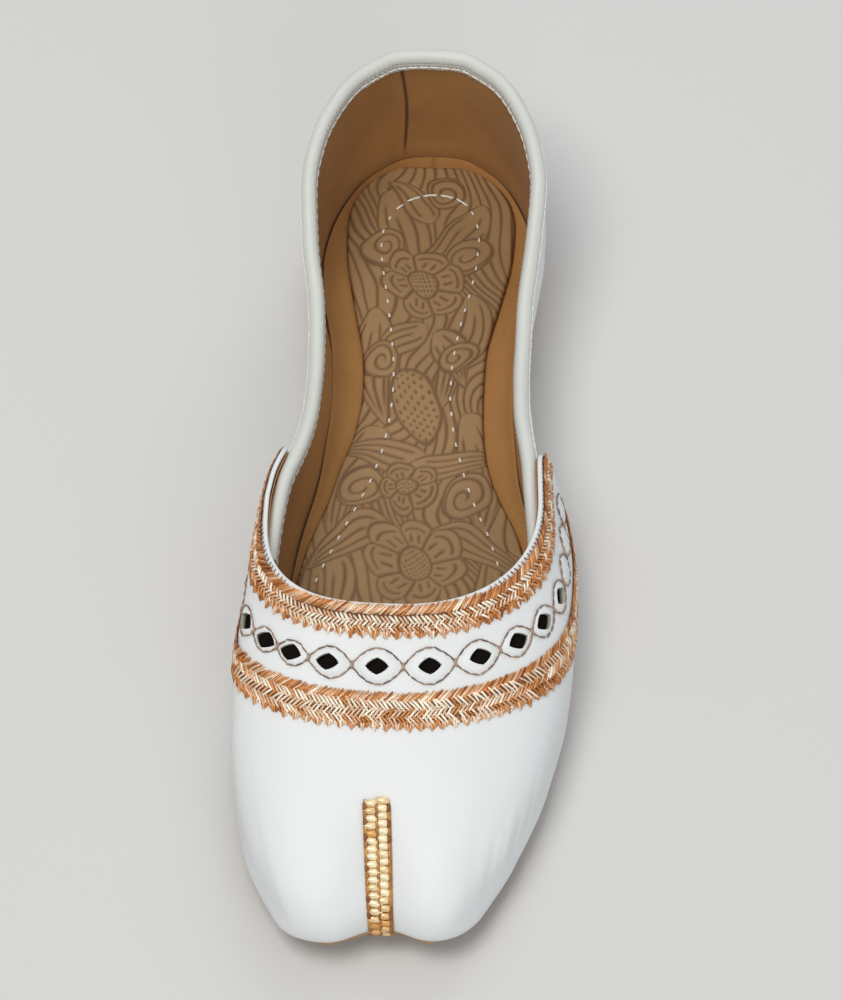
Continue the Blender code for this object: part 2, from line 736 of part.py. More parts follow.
def build_sole():
    """Outsole and the low lift under its back."""
    rubber = make_material("sole_resin", (0.45, 0.30, 0.17), 0.55)
    loop = closed_loop(FEATHER - OUTLINE_NORMAL * SOLE_INSET, SOLE_EDGE_POINTS)
    stations = along_to_y(np.linspace(0.06, 0.96, 26))
    spine = np.stack([np.zeros_like(stations), stations], 1)

    def under(flat):
        return sole_bottom(flat[:, 1])

    def over(flat):
        return sole_top(flat[:, 1])

    plate("outsole", loop, spine, under, over, rubber)
    edge = FEATHER - OUTLINE_NORMAL * LIFT_INSET
    breast = SHOE_LENGTH / 2 - LIFT_LENGTH
    behind = edge[edge[:, 1] > breast]
    middle = int(np.argmax(np.diff(behind[:, 0]) > 0.01))
    medial, lateral = behind[: middle + 1], behind[middle + 1 :]
    lift_path = np.concatenate([lateral, medial])
    lift_loop = at_shares(lift_path, np.linspace(0, 1, 30))

    def floor(flat):
        return np.zeros(len(flat))

    def lift_top(flat):
        return np.full(len(flat), LIFT_HEIGHT)

    plate("heel_lift", lift_loop, np.zeros((0, 2)), floor, lift_top, rubber)


def wall_depth(along):
    """How far the walls and their gap reach inside the feather line."""
    behind = ease(along, QUARTER_FRONT - 0.035, QUARTER_FRONT - 0.005)
    back = quarter_inset(along) * (1 - ease(along, WING_REAR, OPEN_START)) + QUARTER_WALL
    toe = BOARD_TOE_GAP * (1 - ease(along, 0.02, 0.12))
    return VAMP_WALL + (back - VAMP_WALL) * behind + CLEARANCE + toe


def curl_width(along):
    """Width of the lining's curl: full at the waist, little at the toe and heel."""
    return BOARD_CURL_WIDTH * (0.25 + 0.75 * ease(along, 0.47, 0.60)) * (
        1 - 0.6 * ease(along, 0.72, 0.84)
    )


def build_insole():
    """Covered insole board, whose lining curls up along the wall, and the sock pad."""
    lining = make_material("lining_cloth", (0.36, 0.16, 0.05), 0.85)
    tooled = make_material("tooled_sock_leather", (0.31, 0.18, 0.08), 0.6)
    edge = closed_loop(FEATHER, SOLE_EDGE_POINTS)
    loop = inset_loop(edge, wall_depth(y_to_along(edge[:, 1])))
    width = curl_width(y_to_along(loop[:, 1]))
    rings = [inset_loop(loop, width * share) for share in (0.35, 0.7, 1.0)]
    stations = along_to_y(np.linspace(0.09, 0.93, 22))
    spine = np.stack([np.zeros_like(stations), stations], 1)

    def board_under(flat):
        return sole_top(flat[:, 1]) + CLEARANCE

    def board_over(flat):
        gap = np.linalg.norm(flat[:, None] - fine[None], axis=2).min(axis=1)
        width = curl_width(y_to_along(flat[:, 1]))
        curl = (1 - np.clip(gap / width, 0, 1)) ** 2
        height = BOARD_CURL_HEIGHT * width / BOARD_CURL_WIDTH
        return board_under(flat) + BOARD_THICKNESS + height * curl

    fine = at_shares(np.concatenate([loop, loop[:1]]), np.linspace(0, 1, 600))
    inner = np.concatenate([*rings, spine])
    plate("insole_board", loop, inner, board_under, board_over, lining)
    along = np.linspace(PAD["along"][0], PAD["along"][-1], 200)
    sides = {
        side: np.stack(
            [
                smooth_through(PAD["along"], PAD[side], along) * BALL_WIDTH,
                along_to_y(along),
            ],
            1,
        )
        for side in ("medial", "lateral")
    }
    pad_path = np.concatenate([sides["medial"][::-1] * (-1, 1), sides["lateral"]])
    pad_path = np.concatenate([pad_path, pad_path[:1]])
    pad_loop = closed_loop(even_path(pad_path, closed=True), 56)
    pad_stations = along_to_y(np.linspace(0.15, 0.91, 16))
    pad_spine = np.stack([np.zeros_like(pad_stations), pad_stations], 1)

    def pad_under(flat):
        return board_under(flat) + BOARD_THICKNESS + CLEARANCE

    def pad_over(flat):
        return pad_under(flat) + PAD_THICKNESS

    plate("sock_pad", pad_loop, pad_spine, pad_under, pad_over, tooled)


def vamp_shares():
    """Column places along the vamp's outline: close at the toe, wide on the flanks."""
    foot_path, _ = outline_part(WING_REAR, WING_REAR, by_heel=False)
    share = path_shares(foot_path)
    middle = int(np.argmin(np.abs(foot_path[:, 0])))
    marks = []
    for along in (THROAT_REAR - 0.04, 0.07):
        y = along_to_y(along)
        marks.append(share[np.argmin(np.abs(foot_path[:middle, 1] - y))])
    for along in (0.07, THROAT_REAR - 0.04):
        y = along_to_y(along)
        marks.append(share[middle + np.argmin(np.abs(foot_path[middle:, 1] - y))])
    return np.concatenate(
        [
            np.linspace(0, marks[0], WING_COLUMNS)[:-1],
            np.linspace(marks[0], marks[1], FLANK_COLUMNS)[:-1],
            np.linspace(marks[1], share[middle], TOE_COLUMNS // 2 + 1)[:-1],
            np.linspace(share[middle], marks[2], TOE_COLUMNS // 2 + 1)[:-1],
            np.linspace(marks[2], marks[3], FLANK_COLUMNS)[:-1],
            np.linspace(marks[3], 1, WING_COLUMNS),
        ]
    )


def band_rows():
    """Row distances from the throat edge that mark the rim, bands and chain."""
    rim = RIM_WIDTH
    upper = rim + UPPER_BAND_WIDTH
    lower = upper + CHAIN_WIDTH
    return [
        0.0,
        rim,
        (rim + upper) / 2,
        upper,
        upper + CHAIN_WIDTH / 3,
        upper + CHAIN_WIDTH * 2 / 3,
        lower,
        lower + LOWER_BAND_WIDTH / 2,
    ]


def middle_of_shoe():
    """The middle of the finished shoe's length and width, in plan."""
    lower = np.linspace(0, 1, VAMP_LOWER_ROWS + 1)
    front, _ = vamp_surface(vamp_shares(), band_rows(), lower)
    shares = np.linspace(0, 1, QUARTER_COLUMNS)
    back, _ = quarter_surface(shares, quarter_rows(shares))
    plan = np.concatenate([front[..., :2].reshape(-1, 2), back[..., :2].reshape(-1, 2)])
    middle = (plan.min(axis=0) + plan.max(axis=0)) / 2
    return np.array([*middle, 0.0])


MIDDLE = middle_of_shoe()


def chain_places():
    """Centres, directions and normals of the diamond holes along the chain."""
    shares = np.linspace(0, 1, 400)
    middle_row = RIM_WIDTH + UPPER_BAND_WIDTH + CHAIN_WIDTH / 2
    step = CHAIN_WIDTH / 10
    rows = [middle_row - step, middle_row, middle_row + step]
    grid, normals = vamp_surface(shares, rows, [1.0])
    line = grid[:, 1]
    length = np.concatenate(([0.0], np.cumsum(np.linalg.norm(np.diff(line, axis=0), axis=1))))
    centre = np.interp(0.0, line[100:300, 0], length[100:300]) + HOLE_SHIFT
    places = []
    for place in HOLE_PLACES:
        i = int(np.argmin(np.abs(length - centre - place * HOLE_PITCH)))
        tangent = line[i + 1] - line[i - 1]
        places.append((line[i], tangent / np.linalg.norm(tangent), normals[i, 1]))
    return places


def cut_holes(vamp):
    """Cuts the diamond holes, each square to the leather under it."""
    points, faces = [], []
    for centre, along, normal in chain_places():
        across = np.cross(normal, along)
        start = len(points)
        for depth in (2.5 * VAMP_WALL, -2.5 * VAMP_WALL):
            for a, b in ((1, 0), (0, 1), (-1, 0), (0, -1)):
                offset = along * a * HOLE_LENGTH / 2 + across * b * HOLE_WIDTH / 2
                points.append(centre + offset + normal * depth)
        for i in range(4):
            j = (i + 1) % 4
            faces.append((start + i, start + 4 + i, start + 4 + j, start + j))
        faces.append(tuple(start + i for i in range(4)))
        faces.append(tuple(start + 4 + i for i in (3, 2, 1, 0)))
    cutter = make_object("hole_cutter", points, faces, vamp.data.materials[0])
    cutter.hide_render = True
    cutter.display_type = "WIRE"
    modifier = vamp.modifiers.new("diamond_holes", "BOOLEAN")
    modifier.operation = "DIFFERENCE"
    modifier.solver = "EXACT"
    modifier.object = cutter


def build_vamp():
    """Front of the upper, with its embroidery bands and the band on the toe."""
    leather = make_material("white_leather", (0.76, 0.79, 0.80), 0.42)
    thread = make_material("copper_thread", (0.50, 0.24, 0.07), 0.35, 0.6)
    shares = vamp_shares()
    rows = band_rows()
    lower = np.linspace(0, 1, VAMP_LOWER_ROWS + 1)
    grid, normal = vamp_surface(shares, rows, lower)
    inside = grid - normal * VAMP_WALL
    vamp = thick_sheet("vamp", grid[::-1], inside[::-1], leather)
    cut_holes(vamp)
    under = CLEARANCE
    over = CLEARANCE + THREAD_THICKNESS
    inner = slice(len(shares) - 2, 0, -1)
    for name, first, last in (("embroidery_upper", 1, 3), ("embroidery_lower", 6, 8)):
        part = grid[inner, first : last + 1]
        way = normal[inner, first : last + 1]
        thick_sheet(name, part + way * over, part + way * under, thread)
    build_toe_band(thread)


def build_toe_band(thread):
    """The narrow band down the middle of the toe, over the front of the notch."""
    foot_path, _ = outline_part(WING_REAR, WING_REAR, by_heel=False)
    share = path_shares(foot_path)
    middle = int(np.argmin(np.abs(foot_path[:, 0])))
    near = slice(middle - 60, middle + 60)
    reach = np.linspace(-2.2, 2.2, 23) * TOE_BAND_WIDTH
    places = np.interp(reach, foot_path[near, 0], share[near])
    fine = np.linspace(0, 1, 41)
    grid, normal = vamp_surface(places, [0.0], fine)
    tip = TOE_NOTCH_DEPTH - SHOE_LENGTH / 2
    centre_row = grid[len(places) // 2]
    first = int(np.argmax(centre_row[:, 1] < tip + TOE_BAND_LENGTH))
    part, way = [], []
    for row in np.unique(np.linspace(first, len(fine), 12).astype(int)):
        across = grid[:, row, 0]
        back = np.clip((centre_row[row, 1] - tip) / TOE_BAND_LENGTH, 0, 1)
        x = TOE_BAND_TIP_X + (TOE_BAND_TOP_X - TOE_BAND_TIP_X) * back
        x = x + np.array([0.5, 0.0, -0.5]) * TOE_BAND_WIDTH
        part.append(np.stack([np.interp(x, across, grid[:, row, k]) for k in range(3)], 1))
        way.append(np.stack([np.interp(x, across, normal[:, row, k]) for k in range(3)], 1))
    part, way = np.stack(part, 1), np.stack(way, 1)
    under = CLEARANCE * 2.5
    over = under + THREAD_THICKNESS
    thick_sheet("toe_band", part + way * over, part + way * under, thread)


def build_quarter():
    """Back of the upper and the folded strip over its top edge."""
    leather = make_material("white_leather_back", (0.76, 0.79, 0.80), 0.42)
    strip = make_material("binding_strip", (0.62, 0.64, 0.60), 0.5)
    shares = np.linspace(0, 1, QUARTER_COLUMNS)
    top_gap = BINDING_THICKNESS
    outer, normal = quarter_surface(shares, quarter_rows(shares))
    inner = outer - normal * QUARTER_WALL
    thick_sheet("quarter", outer, inner, leather)
    wall = QUARTER_WALL + CLEARANCE
    out, fold = CLEARANCE + BINDING_THICKNESS, BINDING_THICKNESS
    section = (
        (BINDING_OUTER_DEPTH, out),
        (fold, out),
        (0.0, out - fold),
        (0.0, -wall),
        (fold, -wall - fold),
        (BINDING_INNER_DEPTH, -wall - fold),
        (BINDING_INNER_DEPTH, -wall),
        (top_gap, -wall),
        (top_gap, CLEARANCE),
        (BINDING_OUTER_DEPTH, CLEARANCE),
    )
    depths, place = np.unique([depth for depth, _ in section], return_inverse=True)
    face, way = quarter_surface(shares, np.tile(depths, (len(shares), 1)))
    face, way = face[:, place], way[:, place]
    offsets = np.array([offset for _, offset in section])
    ring = face + way * offsets[None, :, None]
    count = len(section)
    points = ring.reshape(-1, 3)
    faces = []
    for i in range(len(shares) - 1):
        for j in range(count):
            k = (j + 1) % count
            a, b = i * count, (i + 1) * count
            faces.append((a + k, b + k, b + j, a + j))
    last = (len(shares) - 1) * count
    faces.append(tuple(range(count - 1, -1, -1)))
    faces.append(tuple(last + j for j in range(count)))
    make_object("collar_binding", points, faces, strip)


def clear_scene():
    for thing in list(bpy.data.objects):
        bpy.data.objects.remove(thing, do_unlink=True)


def main():
    clear_scene()
    build_sole()
    build_insole()
    build_vamp()
    build_quarter()


main()
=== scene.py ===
# %% [markdown]
# # A khussa, dressed for the camera
# A khussa is a flat slip-on shoe with a short embroidered vamp and a notched toe. The
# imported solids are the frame. This script lays the fine pieces over them: coated
# leather, lining, tooled pad, folded strip and several thousand metal-thread stitches.

# %% Load the frame
import math

import bpy
import numpy as np
from mathutils import Matrix, Vector


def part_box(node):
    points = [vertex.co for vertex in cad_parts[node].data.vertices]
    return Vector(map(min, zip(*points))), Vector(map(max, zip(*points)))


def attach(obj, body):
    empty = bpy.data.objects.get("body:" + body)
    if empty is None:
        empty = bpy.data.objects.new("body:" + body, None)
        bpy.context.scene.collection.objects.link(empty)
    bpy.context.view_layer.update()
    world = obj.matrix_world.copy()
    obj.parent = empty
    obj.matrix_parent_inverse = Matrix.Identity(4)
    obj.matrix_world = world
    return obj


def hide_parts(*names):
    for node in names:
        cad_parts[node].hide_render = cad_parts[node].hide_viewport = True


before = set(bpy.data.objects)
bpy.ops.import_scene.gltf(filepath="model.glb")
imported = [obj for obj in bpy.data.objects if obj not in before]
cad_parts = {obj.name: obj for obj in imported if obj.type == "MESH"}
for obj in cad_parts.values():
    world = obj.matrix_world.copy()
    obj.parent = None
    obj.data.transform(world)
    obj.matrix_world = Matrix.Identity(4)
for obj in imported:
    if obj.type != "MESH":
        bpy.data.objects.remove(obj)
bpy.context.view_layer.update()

print("frame:", sorted(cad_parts))


# %% [markdown]
# ## Sizes
# The upper is soft leather stretched over a last, so its form is a set of smooth curves.
# The same named sizes that the solids follow are written here, so that every fine piece
# lands on its solid with no fitting by eye.

# %% Driving sizes
SHOE_LENGTH = 0.245
BALL_WIDTH = 0.087
INSTEP_HEIGHT = 0.043
COLLAR_HEIGHT = 0.057
VAMP_LENGTH = 0.0815
WING_LENGTH = 0.049
WING_ROUNDING = 0.006
QUARTER_OVERLAP = 0.022
TOE_FULLNESS = 0.016
SIDE_FULLNESS = 0.014
TOE_SPRING = 0.006
TOE_NOTCH_DEPTH = 0.0058
TOE_NOTCH_WIDTH = 0.025
TOE_SLANT = 0.0022
TOE_VALLEY_DEPTH = 0.0020
TOE_VALLEY_LENGTH = 0.042
LIFT_HEIGHT = 0.005
SOLE_THICKNESS = 0.0035
SOLE_INSET = 0.0004
BOARD_THICKNESS = 0.0020
BOARD_CURL_HEIGHT = 0.0030
BOARD_CURL_WIDTH = 0.0045
BOARD_TOE_GAP = 0.0008
PAD_THICKNESS = 0.0018
VAMP_WALL = 0.0016
QUARTER_WALL = 0.0018
BINDING_THICKNESS = 0.0008
BINDING_OUTER_DEPTH = 0.0040
BINDING_INNER_DEPTH = 0.0058
FEATHER_INSET = 0.0036
THROAT_LEAN = 0.005
WALL_SOFTNESS = 0.0022
CLEARANCE = 0.0003

# Embroidery, measured along the leather from the throat edge
RIM_WIDTH = 0.0016
UPPER_BAND_WIDTH = 0.0074
CHAIN_WIDTH = 0.0140
LOWER_BAND_WIDTH = 0.0094
TOE_BAND_WIDTH = 0.0066
TOE_BAND_LENGTH = 0.0282
TOE_BAND_TIP_X = 0.0
TOE_BAND_TOP_X = -0.0022
HOLE_PITCH = 0.0132
HOLE_SHIFT = -0.0037
HOLE_LENGTH = 0.0062
HOLE_WIDTH = 0.0048

# Places of the diamond holes along the chain, as shares of HOLE_PITCH from the middle one
HOLE_PLACES = (-2.92, -2.27, -1.69, -0.95, 0.0, 1.0, 1.98, 2.80, 3.52, 4.32)

# Outline of the shoe at its widest height, from the toe corners to the heel.
# along: share of SHOE_LENGTH from the toe. medial, lateral: half-widths as shares of
# BALL_WIDTH. medial_lean, lateral_lean: how far the top edge stands inside the outline,
# as shares of BALL_WIDTH. top: height of the top edge as a share of COLLAR_HEIGHT.
SIDE_NAMES = ("along", "medial", "lateral", "medial_lean", "lateral_lean", "top")
SIDE_ROWS = (
    (0.022, 0.282, 0.233, 0.068, 0.106, 0.730),
    (0.049, 0.335, 0.286, 0.068, 0.106, 0.730),
    (0.094, 0.406, 0.357, 0.064, 0.102, 0.730),
    (0.165, 0.455, 0.438, 0.058, 0.100, 0.730),
    (0.230, 0.472, 0.484, 0.050, 0.100, 0.730),
    (0.300, 0.470, 0.516, 0.042, 0.102, 0.730),
    (0.360, 0.461, 0.524, 0.036, 0.104, 0.730),
    (0.429, 0.446, 0.514, 0.034, 0.100, 0.725),
    (0.490, 0.426, 0.480, 0.034, 0.076, 0.715),
    (0.535, 0.396, 0.441, 0.042, 0.048, 0.700),
    (0.590, 0.349, 0.385, 0.028, 0.026, 0.685),
    (0.650, 0.322, 0.353, 0.012, 0.010, 0.680),
    (0.710, 0.330, 0.352, 0.008, 0.008, 0.705),
    (0.775, 0.358, 0.367, 0.006, 0.006, 0.790),
    (0.840, 0.370, 0.379, 0.006, 0.006, 0.910),
    (0.885, 0.351, 0.358, 0.008, 0.008, 0.965),
    (0.930, 0.302, 0.307, 0.008, 0.008, 0.990),
    (0.965, 0.236, 0.240, 0.008, 0.008, 1.000),
    (0.988, 0.150, 0.152, 0.008, 0.008, 1.000),
)

# Underside of the outsole. along: share of SHOE_LENGTH from the toe. spring and lift:
# shares of TOE_SPRING and of LIFT_HEIGHT by which the underside stands off the floor.
BOTTOM_NAMES = ("along", "spring", "lift")
BOTTOM_ROWS = (
    (0.00, 1.00, 0.00),
    (0.08, 0.60, 0.00),
    (0.16, 0.27, 0.00),
    (0.23, 0.07, 0.00),
    (0.28, 0.00, 0.00),
    (0.41, 0.00, 0.00),
    (0.48, 0.00, 0.06),
    (0.56, 0.00, 0.32),
    (0.65, 0.00, 0.70),
    (0.71, 0.00, 0.94),
    (0.745, 0.00, 1.00),
    (1.00, 0.00, 1.00),
)

# Outline of the sock pad. along: share of SHOE_LENGTH from the toe. medial, lateral:
# half-widths as shares of BALL_WIDTH.
PAD_NAMES = ("along", "medial", "lateral")
PAD_ROWS = (
    (0.100, 0.110, 0.110),
    (0.112, 0.170, 0.165),
    (0.150, 0.250, 0.245),
    (0.220, 0.315, 0.325),
    (0.300, 0.340, 0.370),
    (0.420, 0.335, 0.380),
    (0.476, 0.310, 0.348),
    (0.509, 0.280, 0.315),
    (0.545, 0.246, 0.262),
    (0.580, 0.222, 0.225),
    (0.620, 0.186, 0.206),
    (0.670, 0.171, 0.199),
    (0.715, 0.179, 0.200),
    (0.755, 0.204, 0.220),
    (0.800, 0.230, 0.246),
    (0.845, 0.252, 0.266),
    (0.890, 0.258, 0.268),
    (0.920, 0.240, 0.248),
    (0.943, 0.196, 0.200),
    (0.957, 0.145, 0.148),
    (0.965, 0.085, 0.085),
)

# Throat: how square its two front corners are
THROAT_POWER = {"medial": 3.0, "lateral": 2.25}

OUTLINE_STEPS = 1200
PROFILE_STEPS = 90
PATH_SMOOTHING = 70

# %% Tables as named columns
def read_table(rows, names):
    """Turns a table's rows into one array for each named column."""
    return {name: np.array([row[i] for row in rows]) for i, name in enumerate(names)}


SIDES = read_table(SIDE_ROWS, SIDE_NAMES)
BOTTOM = read_table(BOTTOM_ROWS, BOTTOM_NAMES)
PAD = read_table(PAD_ROWS, PAD_NAMES)

TOE_CORNER = SIDES["along"][0]
HEEL_CORNER = SIDES["along"][-1]
THROAT_REAR = (VAMP_LENGTH + 0.65 * WING_LENGTH) / SHOE_LENGTH
WING_REAR = (VAMP_LENGTH + WING_LENGTH) / SHOE_LENGTH
OPEN_START = WING_REAR + 0.13
QUARTER_FRONT = WING_REAR - QUARTER_OVERLAP / SHOE_LENGTH
OVERLAP_INSET = VAMP_WALL + BINDING_THICKNESS + 2 * CLEARANCE
OPEN_INSET = BINDING_THICKNESS + CLEARANCE
BAND_DEPTH = RIM_WIDTH + UPPER_BAND_WIDTH + CHAIN_WIDTH + LOWER_BAND_WIDTH
print("rows:", len(SIDE_ROWS), len(BOTTOM_ROWS), len(PAD_ROWS))


# %% [markdown]
# ## The outline
# A last-maker draws the sole first. The plan outline is one closed loop, smoothed so that
# no table row shows as a corner; a curve object could do it too, but an array of points
# is easier to ask for normals and lengths.

# %% Curves and paths
def smooth_through(known_x, known_y, x):
    """A smooth curve through the known points that never swings past them."""
    known_x = np.asarray(known_x, float)
    known_y = np.asarray(known_y, float)
    step = np.diff(known_x)
    slope = np.diff(known_y) / step
    tangent = np.concatenate(([slope[0]], np.zeros(len(slope) - 1), [slope[-1]]))
    before, after = slope[:-1], slope[1:]
    same_way = before * after > 0
    safe = np.where(same_way, before + after, 1.0)
    tangent[1:-1] = np.where(same_way, 2 * before * after / safe, 0.0)
    x = np.clip(x, known_x[0], known_x[-1])
    cell = np.clip(np.searchsorted(known_x, x, side="right") - 1, 0, len(step) - 1)
    t = (x - known_x[cell]) / step[cell]
    return (
        (1 + 2 * t) * (1 - t) ** 2 * known_y[cell]
        + t * (1 - t) ** 2 * step[cell] * tangent[cell]
        + t * t * (3 - 2 * t) * known_y[cell + 1]
        + t * t * (t - 1) * step[cell] * tangent[cell + 1]
    )


def ease(x, start, end):
    """Rises smoothly from 0 at start to 1 at end."""
    t = np.clip((x - start) / (end - start), 0.0, 1.0)
    return t * t * (3 - 2 * t)


def along_to_y(along):
    """World y of a place given as a share of the length from the toe."""
    return (along - 0.5) * SHOE_LENGTH


def y_to_along(y):
    return y / SHOE_LENGTH + 0.5


def side_value(name, along):
    return smooth_through(SIDES["along"], SIDES[name], along)


def sole_bottom(y):
    """Height of the outsole's underside."""
    along = y_to_along(np.asarray(y, float))
    spring = smooth_through(BOTTOM["along"], BOTTOM["spring"], along) * TOE_SPRING
    lift = smooth_through(BOTTOM["along"], BOTTOM["lift"], along)
    return spring + lift * (LIFT_HEIGHT + CLEARANCE)


def feather_inset(y):
    """How far the feather line lies inside the outline: less at the upright heel."""
    return FEATHER_INSET * (1 - 0.4 * ease(y_to_along(y), 0.68, 0.84))


def sole_top(y):
    return sole_bottom(y) + SOLE_THICKNESS


def unit(vectors):
    """Vectors along the last axis, each made one long."""
    return vectors / np.linalg.norm(vectors, axis=-1, keepdims=True)


def run_along(points):
    """Length along a path from its first point to each of its points."""
    steps = np.linalg.norm(np.diff(points, axis=0), axis=1)
    return np.concatenate(([0.0], np.cumsum(steps)))


def read_at(marks, have, values):
    """Rows of values, known at the places have, read at the places marks."""
    return np.stack([np.interp(marks, have, column) for column in values.T], 1)


def path_shares(path):
    """How far along the path each of its points lies, from 0 to 1."""
    total = run_along(path)
    return total / total[-1]


def at_shares(path, shares):
    """Points of a path at the given shares of its length."""
    return read_at(shares, path_shares(path), path)


def even_path(path, closed=False):
    """A path with even steps and its small corners evened out."""
    path = at_shares(path, np.linspace(0, 1, OUTLINE_STEPS))
    for _ in range(PATH_SMOOTHING):
        inner = (path[:-2] + 2 * path[1:-1] + path[2:]) / 4
        ends = (path[:1], path[-1:])
        if closed:
            joint = ((path[-2] + 2 * path[0] + path[1]) / 4)[None]
            ends = (joint, joint)
        path = np.concatenate([ends[0], inner, ends[1]])
    return at_shares(path, np.linspace(0, 1, OUTLINE_STEPS))


def outward(path, closed=False):
    """Unit normals of a plan path that runs from medial by the toe to lateral."""
    if closed:
        wrapped = np.concatenate([path[-2:-1], path, path[1:2]])
        tangent = np.gradient(wrapped, axis=0)[1:-1]
    else:
        tangent = np.gradient(path, axis=0)
    return unit(np.stack([tangent[:, 1], -tangent[:, 0]], 1))

# %% Plan outlines
def toe_front():
    """Plan points across the toe with its notch, between the two toe corners."""
    corner = TOE_CORNER * SHOE_LENGTH
    medial = -SIDES["medial"][0] * BALL_WIDTH
    lateral = SIDES["lateral"][0] * BALL_WIDTH
    x = np.linspace(medial, lateral, 90)[1:-1]
    reach = np.where(x < 0, x / medial, x / lateral)
    slant = TOE_SLANT * (x > 0)
    rounding = slant * reach + (corner - slant) * (1 - np.sqrt(np.clip(1 - reach**4, 0, 1)))
    dip = np.clip(np.abs(x) / (TOE_NOTCH_WIDTH / 2), 0, 1)
    notch = TOE_NOTCH_DEPTH * (0.5 + 0.5 * np.cos(math.pi * dip))
    return np.stack([x, rounding + notch - SHOE_LENGTH / 2], 1)


def heel_back(half, back):
    """Plan points from one heel corner to just before the middle of the back."""
    angle = np.linspace(0, math.pi / 2, 24)[1:-1]
    y = along_to_y(HEEL_CORNER) + (back - along_to_y(HEEL_CORNER)) * np.sin(angle)
    return np.stack([half * np.cos(angle), y], 1)


def flank(side, start, end, leaned=False):
    """Plan points of one side between two stations, with x counted outward."""
    along = np.linspace(start, end, 260)
    half = side_value(side, along) * BALL_WIDTH
    if leaned:
        half = half - side_value(side + "_lean", along) * BALL_WIDTH
    return np.stack([half, along_to_y(along)], 1)


def outline_path():
    """The whole outline as a loop from the heel by the medial side and the toe."""
    medial = flank("medial", TOE_CORNER, HEEL_CORNER)
    lateral = flank("lateral", TOE_CORNER, HEEL_CORNER)
    back = SHOE_LENGTH / 2
    heel_m = heel_back(medial[-1, 0], back)
    heel_l = heel_back(lateral[-1, 0], back)
    ends = [[0.0, back]]
    medial_half = np.concatenate([medial, heel_m])[::-1] * (-1, 1)
    loop = np.concatenate([ends, medial_half, toe_front(), lateral, heel_l, ends])
    return even_path(loop, closed=True)


def throat_half(side):
    """Plan points of the throat from its middle to its rear on one side."""
    rear = flank(side, THROAT_REAR, THROAT_REAR + 0.001, leaned=True)[0]
    front = VAMP_LENGTH - SHOE_LENGTH / 2
    power = THROAT_POWER[side]
    angle = np.linspace(0, math.pi / 2, 120)
    x = rear[0] * np.sin(angle) ** (2 / power)
    y = rear[1] - (rear[1] - front) * np.cos(angle) ** (2 / power)
    return np.stack([x, y], 1)


def vamp_top_path():
    """Plan of the vamp's top edge, from the medial wing round the throat."""
    halves = {}
    for side in ("medial", "lateral"):
        wing = flank(side, THROAT_REAR, WING_REAR, leaned=True)[1:]
        halves[side] = np.concatenate([throat_half(side), wing])
    return even_path(np.concatenate([halves["medial"][::-1] * (-1, 1), halves["lateral"][1:]]))


def collar_path():
    """Plan of the collar's top edge, from the medial side round the heel."""
    medial = flank("medial", QUARTER_FRONT, HEEL_CORNER, leaned=True)
    lateral = flank("lateral", QUARTER_FRONT, HEEL_CORNER, leaned=True)
    back = SHOE_LENGTH / 2 - SIDES["medial_lean"][-1] * BALL_WIDTH
    heel_m = heel_back(medial[-1, 0], back)
    heel_l = heel_back(lateral[-1, 0], back)
    medial_half = np.concatenate([medial, heel_m]) * (-1, 1)
    lateral_half = np.concatenate([lateral, heel_l])[::-1]
    return even_path(np.concatenate([medial_half, [[0.0, back]], lateral_half]))


OUTLINE = outline_path()
OUTLINE_NORMAL = outward(OUTLINE, closed=True)
FEATHER = OUTLINE - OUTLINE_NORMAL * feather_inset(OUTLINE[:, 1])[:, None]
print("outline mm:", np.round(1000 * np.ptp(OUTLINE, axis=0), 1))


def outline_part(start, end, by_heel):
    """The piece of the outline between two stations, with its outward normals."""
    toe = int(np.argmin(np.abs(OUTLINE[:, 0]) + (OUTLINE[:, 1] > 0)))
    count = len(OUTLINE)
    wanted_m = along_to_y(start)
    wanted_l = along_to_y(end)
    medial = int(np.argmin(np.abs(OUTLINE[:toe, 1] - wanted_m)))
    lateral = toe + int(np.argmin(np.abs(OUTLINE[toe:, 1] - wanted_l)))
    if by_heel:
        chosen = [i % (count - 1) for i in range(medial, lateral - count, -1)]
    else:
        chosen = list(range(medial, lateral + 1))
    return OUTLINE[chosen], OUTLINE_NORMAL[chosen]


# %% [markdown]
# ## The wall
# Each column of the wall is one curve from the feather line, over the widest place, to
# the top edge. Columns side by side make a surface that any piece can be read from.

